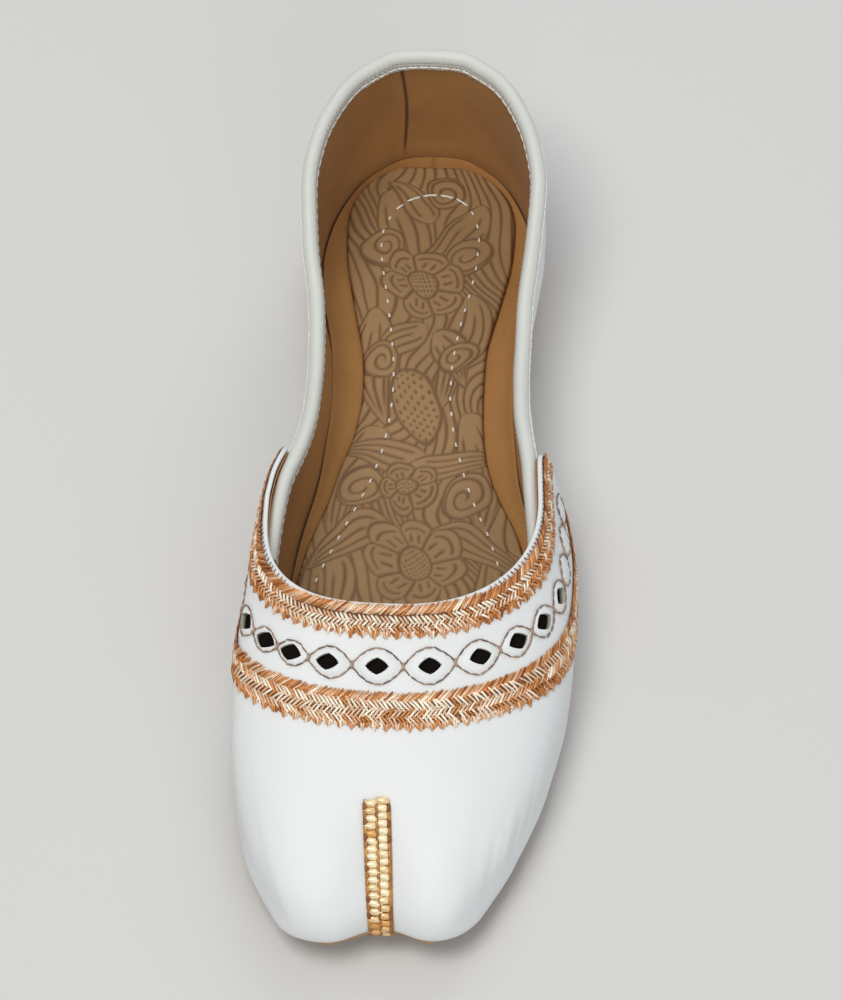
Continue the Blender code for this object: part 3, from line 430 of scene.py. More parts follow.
# %% Wall curves
def wall_curves(foot, normal, top, top_normal, top_height, steepness, top_reach):
    """One curve for each column, from the feather line to the top edge.

    foot, normal: plan points on the outline and their outward normals. top,
    top_normal, top_height: the top edge. steepness: slope of the wall at the top
    edge, in radians below level. top_reach: greatest length of the upper handle.
    The handles are then set so that each wall just reaches the outline.
    """
    count = len(foot)
    inset = feather_inset(foot[:, 1])
    low = foot - normal * inset[:, None]
    low_height = sole_top(low[:, 1]) + CLEARANCE
    p0 = np.column_stack([low, low_height])
    p3 = np.column_stack([top, top_height])
    lift = np.column_stack([top_normal * np.cos(steepness)[:, None], -np.sin(steepness)])
    rise = SIDE_FULLNESS + (TOE_FULLNESS - SIDE_FULLNESS) * (
        1 - ease(y_to_along(foot[:, 1]), TOE_CORNER, 0.2)
    )
    out_top = np.sum((top - low) * normal, axis=1)
    out_lift = np.sum(lift[:, :2] * normal, axis=1)
    t = np.linspace(0, 1, PROFILE_STEPS)[None, :]

    def furthest(lower_handle, upper_reach):
        handle = out_top + out_lift * upper_reach
        curve = 3 * (1 - t) ** 2 * t * lower_handle[:, None] + t**3 * out_top[:, None]
        return (curve + 3 * (1 - t) * t**2 * handle[:, None]).max(axis=1)

    shortest, longest = np.zeros(count), top_reach.copy()
    for _ in range(24):
        middle = (shortest + longest) / 2
        fits = furthest(0.8 * inset, middle) < inset
        shortest = np.where(fits, middle, shortest)
        longest = np.where(fits, longest, middle)
    p2 = p3 + lift * shortest[:, None]
    top_reach = shortest
    shortest, longest = np.zeros(count), 4 * inset
    for _ in range(24):
        middle = (shortest + longest) / 2
        enough = furthest(middle, top_reach) > inset
        longest = np.where(enough, middle, longest)
        shortest = np.where(enough, shortest, middle)
    p1 = p0 + np.column_stack([normal * longest[:, None], rise])
    t = t[:, :, None]
    return kept_inside(
        (1 - t) ** 3 * p0[:, None]
        + 3 * (1 - t) ** 2 * t * p1[:, None]
        + 3 * (1 - t) * t**2 * p2[:, None]
        + t**3 * p3[:, None]
    )


def kept_inside(curves):
    """Presses back softly what swells past the outline between two columns."""
    kept = curves.copy()
    for curve in kept:
        gap = curve[:, None, :2] - OUTLINE[None]
        near = np.argmin((gap**2).sum(axis=2), axis=1)
        way = OUTLINE_NORMAL[near]
        past = np.sum((curve[:, :2] - OUTLINE[near]) * way, axis=1)
        wing = ease(y_to_along(curve[:, 1]), THROAT_REAR - 0.10, THROAT_REAR + 0.06)
        soft = WALL_SOFTNESS * (1 - 0.9 * wing)
        pressed = -soft * np.logaddexp(0, -past / soft)
        lifted = ease(curve[:, 2] - curve[0, 2], 0.0005, 0.008)
        curve[:, :2] += way * ((pressed - past) * lifted)[:, None]
    return kept

# %% Where the columns start and end
def wall_ends(foot_path, foot_normal, top_path, top_normal_path, marks, shares):
    """Foot and top of each column, with outward normals, at shares of the foot's path.

    marks: pairs of point numbers, on the foot's path and on the top's, that one column
    joins. Between the pairs a smooth curve shares out the columns.
    """
    foot_marks, top_marks = np.array(marks).T
    foot_share, top_share = path_shares(foot_path), path_shares(top_path)
    top_shares = smooth_through(foot_share[foot_marks], top_share[top_marks], shares)
    foot = at_shares(foot_path, shares)
    normal = unit(at_shares(foot_normal, shares))
    top = at_shares(top_path, top_shares)
    return foot, normal, top, unit(read_at(top_shares, top_share, top_normal_path))


# %% Columns of the vamp
def vamp_columns(outline_shares):
    """Wall curves of the vamp, and how far its rounded wing tips cut into them."""
    foot_path, foot_normal = outline_part(WING_REAR, WING_REAR, by_heel=False)
    top_path = vamp_top_path()
    top_normal_path = outward(top_path)
    marks = [(0, 0)]
    beside = THROAT_REAR + 0.012
    stations = ((-1, beside), (-1, 0.0), (0, 0.0), (1, 0.0), (1, beside))
    for side, along in stations:
        if along:
            half_foot = side * foot_path[:, 0] > 0
            half_top = side * top_path[:, 0] > 0
            y = along_to_y(along)
            i = np.argmin(np.where(half_foot, np.abs(foot_path[:, 1] - y), 9.0))
            j = np.argmin(np.where(half_top, np.abs(top_path[:, 1] - y), 9.0))
        else:
            corner_foot = side * SIDES["lateral"][0] * BALL_WIDTH
            corner_top = corner_foot - THROAT_LEAN
            front_foot = foot_path[:, 1] > along_to_y(0.12)
            i = np.argmin(np.abs(foot_path[:, 0] - corner_foot) + 9.0 * front_foot)
            front_top = top_path[:, 1] > along_to_y(THROAT_REAR - 0.02)
            j = np.argmin(np.abs(top_path[:, 0] - corner_top) + 9.0 * front_top)
        marks.append((i, j))
    marks.append((-1, -1))
    foot, normal, top, top_normal = wall_ends(
        foot_path, foot_normal, top_path, top_normal_path, marks, outline_shares
    )
    along = y_to_along(top[:, 1])
    front = VAMP_LENGTH / SHOE_LENGTH
    backness = ease(along, front, THROAT_REAR)
    wing_height = side_value("top", along) * COLLAR_HEIGHT
    height = INSTEP_HEIGHT + (wing_height - INSTEP_HEIGHT) * backness
    past = np.clip((along - WING_REAR) * SHOE_LENGTH / WING_ROUNDING + 1, 0, 1)
    cut_back = 0.8 * WING_ROUNDING * (1 - np.sqrt(1 - past**2))
    steepness = np.radians(24 + 54 * ease(along, front, THROAT_REAR + 0.01))
    span = np.linalg.norm(np.column_stack([top - foot, height]), axis=1)
    reach = span * (0.46 - 0.10 * backness)
    return wall_curves(foot, normal, top, top_normal, height, steepness, reach), cut_back


# %% Columns of the back
def quarter_columns(shares):
    """Wall curves of the back part at the given shares of its outline's length."""
    foot_path, foot_normal = outline_part(QUARTER_FRONT, QUARTER_FRONT, by_heel=True)
    top_path = collar_path()
    top_normal_path = outward(top_path[::-1])[::-1]
    paths = (foot_path, top_path)
    middles = [int(np.argmax(path[:, 1])) for path in paths]

    def marks_at(along, lateral):
        """Point numbers at a station, on the medial or the lateral half of both paths."""
        y = along_to_y(along)
        halves = [(m, len(path)) if lateral else (0, m) for path, m in zip(paths, middles)]
        return [a + int(np.argmin(np.abs(p[a:b, 1] - y))) for p, (a, b) in zip(paths, halves)]

    stations = (WING_REAR + 0.02, 0.70, 0.84)
    marks = [[0, 0], *(marks_at(along, False) for along in stations), middles]
    marks += [*(marks_at(along, True) for along in stations[::-1]), [-1, -1]]
    foot, normal, top, top_normal = wall_ends(
        foot_path, foot_normal, top_path, top_normal_path, marks, shares
    )
    along = y_to_along(top[:, 1])
    height = side_value("top", along) * COLLAR_HEIGHT
    steepness = np.radians(78 + 6 * ease(along, 0.55, 0.75))
    span = np.linalg.norm(np.column_stack([top - foot, height]), axis=1)
    return wall_curves(foot, normal, top, top_normal, height, steepness, span * 0.36)


def rows_from_top(curves, distances):
    """Points on each curve at given distances from the top edge, per column."""
    grid = np.empty((len(curves), distances.shape[1], 3))
    for i, curve in enumerate(curves):
        down = curve[::-1]
        grid[i] = read_at(distances[i], run_along(down), down)
    return grid


def curve_lengths(curves):
    return np.linalg.norm(np.diff(curves, axis=1), axis=2).sum(axis=1)


def grid_normals(grid, by_toe):
    """Outward unit normals of a grid whose rows run down from the top edge.

    by_toe: whether the columns go round by the toe, or else by the heel.
    """
    across = np.gradient(grid, axis=0)
    down = np.gradient(grid, axis=1)
    normal = unit(np.cross(across, down))
    return -normal if by_toe else normal


def toe_valley(grid):
    """Sinks the shallow valley that the toe band lies in, between the two lobes."""
    forward = 1 - ease(grid[..., 1], along_to_y(0.02), -SHOE_LENGTH / 2 + TOE_VALLEY_LENGTH)
    beside = np.exp(-((grid[..., 0] / (TOE_NOTCH_WIDTH * 0.32)) ** 2))
    high = ease(grid[..., 2], 0.4 * TOE_FULLNESS, TOE_FULLNESS)
    sunk = grid.copy()
    sunk[..., 2] -= TOE_VALLEY_DEPTH * forward * beside * high
    return sunk

# %% Surfaces
def vamp_surface(outline_shares, band_rows, lower_rows):
    """The vamp's outer surface and normals: rows by distance from the throat edge.

    band_rows: distances from the throat edge inside the embroidered width. lower_rows:
    shares of what is left below it, from 0 to 1. Where the wall is shorter than the
    embroidery, at the wings, the distances shrink with it.
    """
    curves, cut_back = vamp_columns(outline_shares)
    length = curve_lengths(curves) - cut_back
    shrink = np.minimum(1.0, (length - 2 * RIM_WIDTH) / BAND_DEPTH)
    upper = shrink[:, None] * np.asarray(band_rows)[None, :]
    start = (shrink * BAND_DEPTH)[:, None]
    lower = start + (length[:, None] - start) * np.asarray(lower_rows)[None, :]
    distances = np.concatenate([upper, lower], axis=1) + cut_back[:, None]
    grid = toe_valley(rows_from_top(curves, distances))
    return grid, grid_normals(grid, by_toe=True)


def quarter_inset(along):
    """How far the back part's outer face lies inside the shared surface."""
    return OVERLAP_INSET + (OPEN_INSET - OVERLAP_INSET) * ease(along, WING_REAR, OPEN_START)


def collar_drop(along):
    """How far the collar's edge dips below the vamp's edge where it runs inside it."""
    return 0.0045 * (1 - ease(along, QUARTER_FRONT, WING_REAR + 0.02))


def quarter_surface(shares, distances):
    """Points and normals of the back part's outer face at distances from the top."""
    curves = quarter_columns(shares)
    drop = collar_drop(y_to_along(curves[:, -1, 1]))
    rows = np.asarray(distances) + drop[:, None]
    grid = rows_from_top(curves, rows)
    normal = grid_normals(grid, by_toe=False)
    along = y_to_along(curves[:, -1, 1])
    open_part = ease(along, WING_REAR, OPEN_START)[:, None]
    down = rows / curve_lengths(curves)[:, None]
    inset = quarter_inset(along)[:, None] * (1 - open_part * ease(down, 0.15, 0.8))
    return grid - normal * inset[:, :, None], normal


def wall_depth(along):
    """How far the walls and their gap reach inside the feather line."""
    behind = ease(along, QUARTER_FRONT - 0.035, QUARTER_FRONT - 0.005)
    back = quarter_inset(along) * (1 - ease(along, WING_REAR, OPEN_START)) + QUARTER_WALL
    toe = BOARD_TOE_GAP * (1 - ease(along, 0.02, 0.12))
    return VAMP_WALL + (back - VAMP_WALL) * behind + CLEARANCE + toe


def curl_width(along):
    """Width of the lining's curl: full at the waist, little at the toe and heel."""
    return BOARD_CURL_WIDTH * (0.25 + 0.75 * ease(along, 0.47, 0.60)) * (
        1 - 0.6 * ease(along, 0.72, 0.84)
    )


sole_low, sole_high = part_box("outsole")
own_sole = at_shares(FEATHER - OUTLINE_NORMAL * SOLE_INSET, np.linspace(0, 1, 85))
own_middle = (own_sole.min(axis=0) + own_sole.max(axis=0)) / 2
cad_middle = (np.array(sole_low[:2]) + np.array(sole_high[:2])) / 2
MIDDLE = np.array([*(own_middle - cad_middle), 0.0])
print("middle mm:", np.round(MIDDLE * 1000, 2))

# %% [markdown]
# ## Mesh helpers
# Leather pieces are closed shells: an outer and an inner grid of points, joined at the
# edges. Plain arrays turned into one mesh are quick to build and easy to check.

# %% Shells from grids
def make_piece(name, points, faces, materials, face_materials=None):
    """A mesh object at the origin, with the part's middle taken off its points."""
    mesh = bpy.data.meshes.new(name)
    mesh.from_pydata((np.asarray(points) - MIDDLE).tolist(), [], faces)
    for material in materials:
        mesh.materials.append(material)
    if face_materials is not None:
        mesh.polygons.foreach_set("material_index", face_materials)
    mesh.shade_smooth()
    piece = bpy.data.objects.new(name, mesh)
    bpy.context.collection.objects.link(piece)
    return piece


def shell(name, outer, inner, materials):
    """A closed wall between two grids whose columns run anticlockwise from above."""
    columns, rows = outer.shape[:2]
    points = np.concatenate([outer.reshape(-1, 3), inner.reshape(-1, 3)])
    index = np.arange(columns * rows).reshape(columns, rows)
    under = index + columns * rows

    def quads(a):
        corners = (a[:-1, :-1], a[1:, :-1], a[1:, 1:], a[:-1, 1:])
        return np.stack(corners, -1).reshape(-1, 4)

    def strip(a, b):
        return np.stack([a[:-1], a[1:], b[1:], b[:-1]], -1)

    faces = np.concatenate(
        [
            quads(index),
            quads(under)[:, ::-1],
            strip(under[:, 0], index[:, 0]),
            strip(index[:, -1], under[:, -1]),
            strip(index[0], under[0]),
            strip(under[-1], index[-1]),
        ]
    )
    return make_piece(name, points, faces.tolist(), materials)


def point_value(piece, name, values):
    """Stores one number for each point, for the material to read."""
    layer = piece.data.attributes.new(name, "FLOAT", "POINT")
    layer.data.foreach_set("value", np.asarray(values, dtype=np.float32))


# %% [markdown]
# ## Finishes
# Each finish starts from what it really is. Colours are sRGB hex values, read off.
# One helper adds a node with its settings and links, and one turns hex to linear.

# %% Node helper and colour
def linear(hex_colour):
    """sRGB hex to the linear colour that Blender's nodes expect."""
    parts = [int(hex_colour[i : i + 2], 16) / 255 for i in (0, 2, 4)]
    parts = [c / 12.92 if c <= 0.04045 else ((c + 0.055) / 1.055) ** 2.4 for c in parts]
    return (*parts, 1.0)


def add(tree, kind, settings=None, **links):
    """Adds a node; links name an input and give a value or another node's output."""
    node = tree.nodes.new(kind)
    for key, value in (settings or {}).items():
        setattr(node, key, value)
    for key, value in links.items():
        place = int(key[1:]) if key[1:].isdigit() else key.replace("_", " ")
        socket = node.inputs[place]
        if isinstance(value, bpy.types.NodeSocket):
            tree.links.new(value, socket)
        else:
            socket.default_value = value
    return node


def new_finish(name, roughness, colour="CCCCCC", **shader_values):
    """A material with its tree and shader; other shader values are named by their input."""
    material = bpy.data.materials.new(name)
    material.use_nodes = True
    shader = material.node_tree.nodes["Principled BSDF"]
    shader.inputs["Base Color"].default_value = linear(colour)
    shader.inputs["Roughness"].default_value = roughness
    for key, value in shader_values.items():
        shader.inputs[key.replace("_", " ")].default_value = value
    return material, material.node_tree, shader


def tint(tree, shader, factor, low, high):
    """Mixes two sRGB colours by a factor into the base colour."""
    mix = add(tree, "ShaderNodeMix", {"data_type": "RGBA"}, i6=linear(low), i7=linear(high))
    tree.links.new(factor, mix.inputs[0])
    tree.links.new(mix.outputs[2], shader.inputs["Base Color"])
    return mix


def relief(tree, shader, height, distance, strength):
    """Turns a height into bump; distance in metres."""
    bump = add(tree, "ShaderNodeBump", Height=height, Distance=distance, Strength=strength)
    tree.links.new(bump.outputs["Normal"], shader.inputs["Normal"])
    return bump


# %% [markdown]
# ## White coated leather
# The upper is synthetic leather: a cloth with a polyurethane coat, plated smooth. The coat
# gives a soft broad gloss, and the plate a fine pebble about 0.7 mm wide that only shows
# where light grazes it. A noise under the pebble keeps the gloss from looking like plastic.

# %% White coated leather
def coated_leather(name, low, high, grain_mm, depth):
    """White that barely clouds, with a pebble of the given width and depth."""
    material, tree, shader = new_finish(name, 0.46, Specular_IOR_Level=0.42, Coat_Weight=0.12)
    shader.inputs["Coat Roughness"].default_value = 0.35
    place = add(tree, "ShaderNodeTexCoord").outputs["Object"]
    cloud = add(tree, "ShaderNodeTexNoise", Vector=place, Scale=28.0, Detail=3.0)
    tint(tree, shader, cloud.outputs["Fac"], low, high)
    pebble = add(tree, "ShaderNodeTexVoronoi", Vector=place, Scale=1000 / grain_mm)
    fine = add(tree, "ShaderNodeTexNoise", Vector=place, Scale=2500 / grain_mm, Detail=2.0)
    both = add(
        tree, "ShaderNodeMath", {"operation": "MULTIPLY_ADD"},
        i0=pebble.outputs["Distance"], i1=0.6, i2=fine.outputs["Fac"],
    )
    relief(tree, shader, both.outputs[0], depth, 0.5)
    return material


WHITE = coated_leather("white_coated_leather", "E2E6E7", "EAEDEE", 0.7, 0.00006)
STRIP = coated_leather("folded_white_strip", "CFD2CC", "DDE0DB", 0.5, 0.00010)


# %% [markdown]
# ## Lining, pad and sole
# Three dull finishes share one recipe: two clouded colours, a fine grain, and darker marks
# where a piece has creases or grooves; in the lining's crease and at the pad's rolled rim the
# darkening is painted shade. Texture scales count spots in a metre, so 2200 is a
# nap of about 0.45 mm, and 38 a cloud of about 26 mm.

# %% Lining, pad and sole
def clouded(name, roughness, colours, cloud, grain, depth, marks=None, **shader_values):
    """Clouded colour with fine grain; marks: an attribute and the colour it darkens to."""
    material, tree, shader = new_finish(name, roughness, **shader_values)
    place = add(tree, "ShaderNodeTexCoord").outputs["Object"]
    clouds = add(tree, "ShaderNodeTexNoise", Vector=place, **cloud)
    body = tint(tree, shader, clouds.outputs["Fac"], *colours)
    if marks:
        dark_mark = add(tree, "ShaderNodeAttribute", {"attribute_name": marks[0]})
        darker = add(
            tree, "ShaderNodeMix", {"data_type": "RGBA"},
            i0=dark_mark.outputs["Fac"], i6=body.outputs[2], i7=linear(marks[1]),
        )
        tree.links.new(darker.outputs[2], shader.inputs["Base Color"])
    fine = add(tree, "ShaderNodeTexNoise", Vector=place, **grain)
    relief(tree, shader, fine.outputs["Fac"], depth, 0.5)
    return material


# Brushed synthetic suede: a short nap, dull and cloudy, with painted shade darkening it where it
# is creased.
LINING = clouded(
    "brushed_tan_lining", 0.85, ("96683A", "C09058"),
    {"Scale": 38.0, "Detail": 6.0, "Roughness": 0.65}, {"Scale": 2200.0, "Detail": 3.0},
    0.00012, ("crease_shade", "4A2A14"),
    Specular_IOR_Level=0.2, Sheen_Weight=0.08, Sheen_Roughness=0.5,
)
# Board with the look of tanned hide, pressed with flowers: matt, darker in its grooves.
PADSKIN = clouded(
    "pressed_brown_pad", 0.62, ("927552", "AC8A5F"),
    {"Scale": 45.0, "Detail": 5.0}, {"Scale": 1400.0, "Detail": 4.0},
    0.00008, ("groove", "644429"), Specular_IOR_Level=0.35,
)
# Cast resin: dull tan with faint clouds from moulding.
SOLE = clouded(
    "cast_tan_resin_sole", 0.6, ("A98358", "C4A277"),
    {"Scale": 60.0, "Detail": 5.0}, {"Scale": 900.0, "Detail": 3.0}, 0.0001,
)
# The cut edge shows the greyish cloth base under the coating.
RAW_EDGE = new_finish("raw_cut_edge", 0.9, "A6A498")[0]
# Black sheet behind the cut-outs, dull: painted shade standing in for the unlit inside of the
# shoe, so the diamonds read as dark holes.
SHADE_SHEET = new_finish("black_shade_sheet", 0.95, "16120F", Specular_IOR_Level=0.1)[0]


# %% [markdown]
# ## Metal thread
# The bands are sewn with flat metal foil wound on a cotton core. Each turn catches the
# light by itself, so every stitch carries its own shade, from copper to pale gold, and one
# ramp turns that number into colour: partly the thread's own copper and gold, partly painted
# glints and shading. The finish is only partly metallic: foil this narrow scatters more light than
# it mirrors.

# %% Metal thread
def metal_thread(name, dark, middle, light, metallic, roughness):
    """A thread whose colour runs through three stops by each stitch's shade."""
    material, tree, shader = new_finish(name, roughness, Metallic=metallic)
    shade = add(tree, "ShaderNodeAttribute", {"attribute_name": "shade"}).outputs["Fac"]
    ramp = add(tree, "ShaderNodeValToRGB", Fac=shade)
    stops = ramp.color_ramp.elements
    stops.new(0.45)
    for stop, colour in zip(stops, (dark, middle, light)):
        stop.color = linear(colour)
    tree.links.new(ramp.outputs[0], shader.inputs["Base Color"])
    place = add(tree, "ShaderNodeTexCoord").outputs["Object"]
    turn = add(tree, "ShaderNodeTexNoise", Vector=place, Scale=3500.0, Detail=1.0)
    relief(tree, shader, turn.outputs["Fac"], 0.0001, 0.6)
    return material


THREAD = metal_thread("copper_gold_thread", "84431C", "D08A48", "FFF6E2", 0.30, 0.32)
TOE_THREAD = metal_thread("pale_gold_thread", "8A5224", "DDA75C", "FFF1CC", 0.30, 0.32)
FINE_THREAD = metal_thread("brown_running_thread", "6A524A", "957868", "B89A82", 0.15, 0.5)
WHITE_THREAD = metal_thread("white_cotton_thread", "CFCBC0", "E2DFD6", "F4F2EC", 0.0, 0.6)
GROUND = metal_thread("thread_ground", "6B4020", "7E5230", "8A5C34", 0.1, 0.7)
print("finishes:", len(bpy.data.materials))

# %% [markdown]
# ## A stitch, and a thousand of them
# Each stitch is a short bowed thread whose ends dip into the leather. Geometry Nodes
# put one on every point of a cloud: the points carry the direction, the outward normal,
# the size and a shade. Placing single objects by hand would be slow and heavy.

# %% The stitch tree
def stitch_tree(name, material):
    tree = bpy.data.node_groups.new(name, "GeometryNodeTree")
    face = tree.interface
    face.new_socket("Points", in_out="INPUT", socket_type="NodeSocketGeometry")
    bow = face.new_socket("Bow", in_out="INPUT", socket_type="NodeSocketFloat")
    steps = face.new_socket("Steps", in_out="INPUT", socket_type="NodeSocketInt")
    sides = face.new_socket("Sides", in_out="INPUT", socket_type="NodeSocketInt")
    face.new_socket("Stitches", in_out="OUTPUT", socket_type="NodeSocketGeometry")
    given = add(tree, "NodeGroupInput")
    line = add(tree, "GeometryNodeCurvePrimitiveLine", i0=(-0.5, 0, 0), i1=(0.5, 0, 0))
    even = add(tree, "GeometryNodeResampleCurve", i0=line.outputs[0])
    tree.links.new(given.outputs["Steps"], even.inputs["Count"])
    share = add(tree, "GeometryNodeSplineParameter").outputs["Factor"]
    arc = add(tree, "ShaderNodeMath", {"operation": "PINGPONG"}, i0=share, i1=0.5)
    round_arc = add(tree, "ShaderNodeMath", {"operation": "POWER"}, i0=arc.outputs[0], i1=0.45)
    lift = add(tree, "ShaderNodeMath", {"operation": "MULTIPLY"}, i0=round_arc.outputs[0])
    tree.links.new(given.outputs["Bow"], lift.inputs[1])
    up = add(tree, "ShaderNodeCombineXYZ", Z=lift.outputs[0])
    bowed = add(tree, "GeometryNodeSetPosition", i0=even.outputs[0], Offset=up.outputs[0])
    thick = add(tree, "ShaderNodeMath", {"operation": "ADD"}, i0=round_arc.outputs[0], i1=0.28)
    sized = add(tree, "GeometryNodeSetCurveRadius", i0=bowed.outputs[0], Radius=thick.outputs[0])
    ring = add(tree, "GeometryNodeCurvePrimitiveCircle", {"mode": "RADIUS"}, Radius=0.5)
    tree.links.new(given.outputs["Sides"], ring.inputs["Resolution"])
    tube = add(tree, "GeometryNodeCurveToMesh", i0=sized.outputs[0], i1=ring.outputs[0])
    tree.nodes[tube.name].inputs["Fill Caps"].default_value = True

    def named(kind, attribute):
        return add(tree, "GeometryNodeInputNamedAttribute", {"data_type": kind}, Name=attribute)

    way = named("FLOAT_VECTOR", "way").outputs["Attribute"]
    out = named("FLOAT_VECTOR", "out").outputs["Attribute"]
    size = named("FLOAT_VECTOR", "size").outputs["Attribute"]
    turn = add(tree, "FunctionNodeAlignRotationToVector", {"axis": "X"}, Vector=way)
    face_out = add(
        tree, "FunctionNodeAlignRotationToVector", {"axis": "Z", "pivot_axis": "X"},
        Rotation=turn.outputs[0], Vector=out,
    )
    placed = add(
        tree, "GeometryNodeInstanceOnPoints",
        Points=given.outputs["Points"], Instance=tube.outputs[0],
        Rotation=face_out.outputs[0], Scale=size,
    )
    real = add(tree, "GeometryNodeRealizeInstances", i0=placed.outputs[0])
    smooth = add(tree, "GeometryNodeSetShadeSmooth", i0=real.outputs[0])
    painted = add(tree, "GeometryNodeSetMaterial", Geometry=smooth.outputs[0], Material=material)
    end = add(tree, "NodeGroupOutput")
    tree.links.new(painted.outputs[0], end.inputs[0])
    ids = {"Bow": bow.identifier, "Steps": steps.identifier, "Sides": sides.identifier}
    return tree, ids


def sew(name, places, way, out, size, shade, material, slot, bow=0.9, steps=5, sides=6):
    """Turns arrays of places into one plain mesh of realized stitches."""
    cloud = bpy.data.meshes.new(name + "_places")
    cloud.from_pydata((np.asarray(places) - MIDDLE).tolist(), [], [])
    for key, values in (("way", way), ("out", out), ("size", size)):
        layer = cloud.attributes.new(key, "FLOAT_VECTOR", "POINT")
        layer.data.foreach_set("vector", np.asarray(values, dtype=np.float32).ravel())
    layer = cloud.attributes.new("shade", "FLOAT", "POINT")
    layer.data.foreach_set("value", np.asarray(shade, dtype=np.float32))
    carrier = bpy.data.objects.new(name + "_carrier", cloud)
    bpy.context.collection.objects.link(carrier)
    tree, ids = stitch_tree(name + "_tree", material)
    modifier = carrier.modifiers.new("stitches", "NODES")
    modifier.node_group = tree
    for key, value in (("Bow", bow), ("Steps", steps), ("Sides", sides)):
        modifier[ids[key]] = value
    seen = carrier.evaluated_get(bpy.context.evaluated_depsgraph_get())
    mesh = bpy.data.meshes.new_from_object(seen)
    mesh.name = name
    carrier.modifiers.remove(modifier)
    bpy.data.objects.remove(carrier, do_unlink=True)
    piece = bpy.data.objects.new(name, mesh)
    bpy.context.collection.objects.link(piece)
    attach(piece, "root")
    triangles = sum(len(p.vertices) - 2 for p in mesh.polygons)
    print(name, "stitches:", len(places), "triangles:", triangles)
    return piece


# %% [markdown]
# ## The vamp
# One leather shell from wing to wing. Its rows are counted from the throat edge, because
# the embroidery is: rim, upper band, chain of ovals, lower band, plain toe.

# %% Fine grid of the vamp
COLUMNS, BAND_STEP, LOWER_ROWS = 361, 0.0005, 56
RIM_RADIUS = 0.0006
LEATHER = 0.0012
vamp_columns_at = np.linspace(0, 1, COLUMNS)
lip = RIM_RADIUS * (1 - np.cos(np.linspace(0, math.pi / 2, 5)))[:-1]
band_at = np.concatenate([lip, np.arange(RIM_RADIUS, BAND_DEPTH, BAND_STEP)])
lower_at = np.linspace(0, 1, LOWER_ROWS)
VAMP, VAMP_OUT = vamp_surface(vamp_columns_at, band_at, lower_at)
BANDS = len(band_at)
mid_row = int(np.argmin(np.abs(band_at - RIM_WIDTH - UPPER_BAND_WIDTH - CHAIN_WIDTH / 2)))
print("vamp grid:", VAMP.shape)


def run_of(grid, row):
    """Length along one row of a grid, from its first column, in metres."""
    return run_along(grid[:, row])


def bilinear(grid, columns, rows):
    """Values of a grid at fractional columns and rows."""
    i = np.clip(np.floor(columns).astype(int), 0, grid.shape[0] - 2)
    j = np.clip(np.floor(rows).astype(int), 0, grid.shape[1] - 2)
    a, b = (columns - i)[:, None], (rows - j)[:, None]
    low = grid[i, j] * (1 - b) + grid[i, j + 1] * b
    high = grid[i + 1, j] * (1 - b) + grid[i + 1, j + 1] * b
    return low * (1 - a) + high * a


def on_vamp(run, depth):
    """Places and normals on the vamp: run along the chain's row, depth from the throat."""
    columns = np.interp(run, CHAIN_RUN, np.arange(COLUMNS))
    rows = np.interp(depth, band_at, np.arange(BANDS))
    return bilinear(VAMP, columns, rows), unit(bilinear(VAMP_OUT, columns, rows))


CHAIN_RUN = run_of(VAMP, mid_row)
CENTRE_RUN = np.interp(0.0, VAMP[90:270, mid_row, 0], CHAIN_RUN[90:270]) + HOLE_SHIFT
print("chain mm:", round(CHAIN_RUN[-1] * 1000, 1), "centre:", round(CENTRE_RUN * 1000, 1))

# %% [markdown]
# ## The chain of ovals
# Pricked ovals run from wing to wing between the two bands, and the ones in front have a
# diamond cut out. They shrink and close up towards the wings, where the leather turns away.
# Their places are a short table, because a hand spaced them by eye.

# %% Places of the ovals
PLAIN_PITCH = 0.0098
HOLE_RUNS = CENTRE_RUN + np.array(HOLE_PLACES) * HOLE_PITCH
medial_more = HOLE_RUNS[0] - PLAIN_PITCH * np.arange(7, 0, -1)
lateral_more = HOLE_RUNS[-1] + PLAIN_PITCH * np.arange(1, 8)
oval_runs = np.concatenate([medial_more, HOLE_RUNS, lateral_more])
oval_runs = oval_runs[(oval_runs > 0.006) & (oval_runs < CHAIN_RUN[-1] - 0.006)]
first_knot, last_knot = oval_runs[0] - PLAIN_PITCH / 2, oval_runs[-1] + PLAIN_PITCH / 2
knots = np.concatenate([[first_knot], (oval_runs[:-1] + oval_runs[1:]) / 2, [last_knot]])
CHAIN_DEPTH = RIM_WIDTH + UPPER_BAND_WIDTH + CHAIN_WIDTH / 2
print("ovals:", len(oval_runs))


def oval_half(run):
    """Half-height of the oval at a place along the chain."""
    cell = np.clip(np.searchsorted(knots, run) - 1, 0, len(knots) - 2)
    share = np.clip((run - knots[cell]) / (knots[cell + 1] - knots[cell]), 0, 1)
    width = knots[cell + 1] - knots[cell]
    return 0.355 * np.minimum(width, 0.0132) * np.sin(math.pi * share) ** 0.8


# %% [markdown]
# ## Shaping the leather
# These are the soft things that time and the needle do: padding under the ovals, a furrow
# along each stitch line, and a few shallow creases pressed in by the last. A sculpt could
# do it, but soft troughs added to the grid keep their place in millimetres.

# %% Creases and padding
CREASES = (
    # run share, low depth, high depth (mm from the throat), width mm, height mm
    (0.612, 58.0, 80.0, 2.2, -0.28),
    (0.634, 54.0, 80.0, 1.8, 0.22),
    (0.652, 56.0, 80.0, 1.6, -0.26),
    (0.676, 48.0, 70.0, 2.4, -0.22),
    (0.330, 48.0, 68.0, 2.8, -0.26),
)
CREASE_END = 8  # mm over which a crease fades at each end
PUFF_HEIGHT = 0.00055
FURROW_DEPTH, FURROW_HALF = 0.00022, 0.0006
WAVER_HEIGHT = 0.00012
run = CHAIN_RUN[:, None] * np.ones((1, VAMP.shape[1]))
fall = np.linalg.norm(np.diff(VAMP, axis=1), axis=2)
depth = np.concatenate([np.zeros((COLUMNS, 1)), np.cumsum(fall, axis=1)], axis=1)
chain_depth = np.zeros_like(depth) + 1.0
chain_depth[:, :BANDS] = band_at[None, :]
half = oval_half(run)
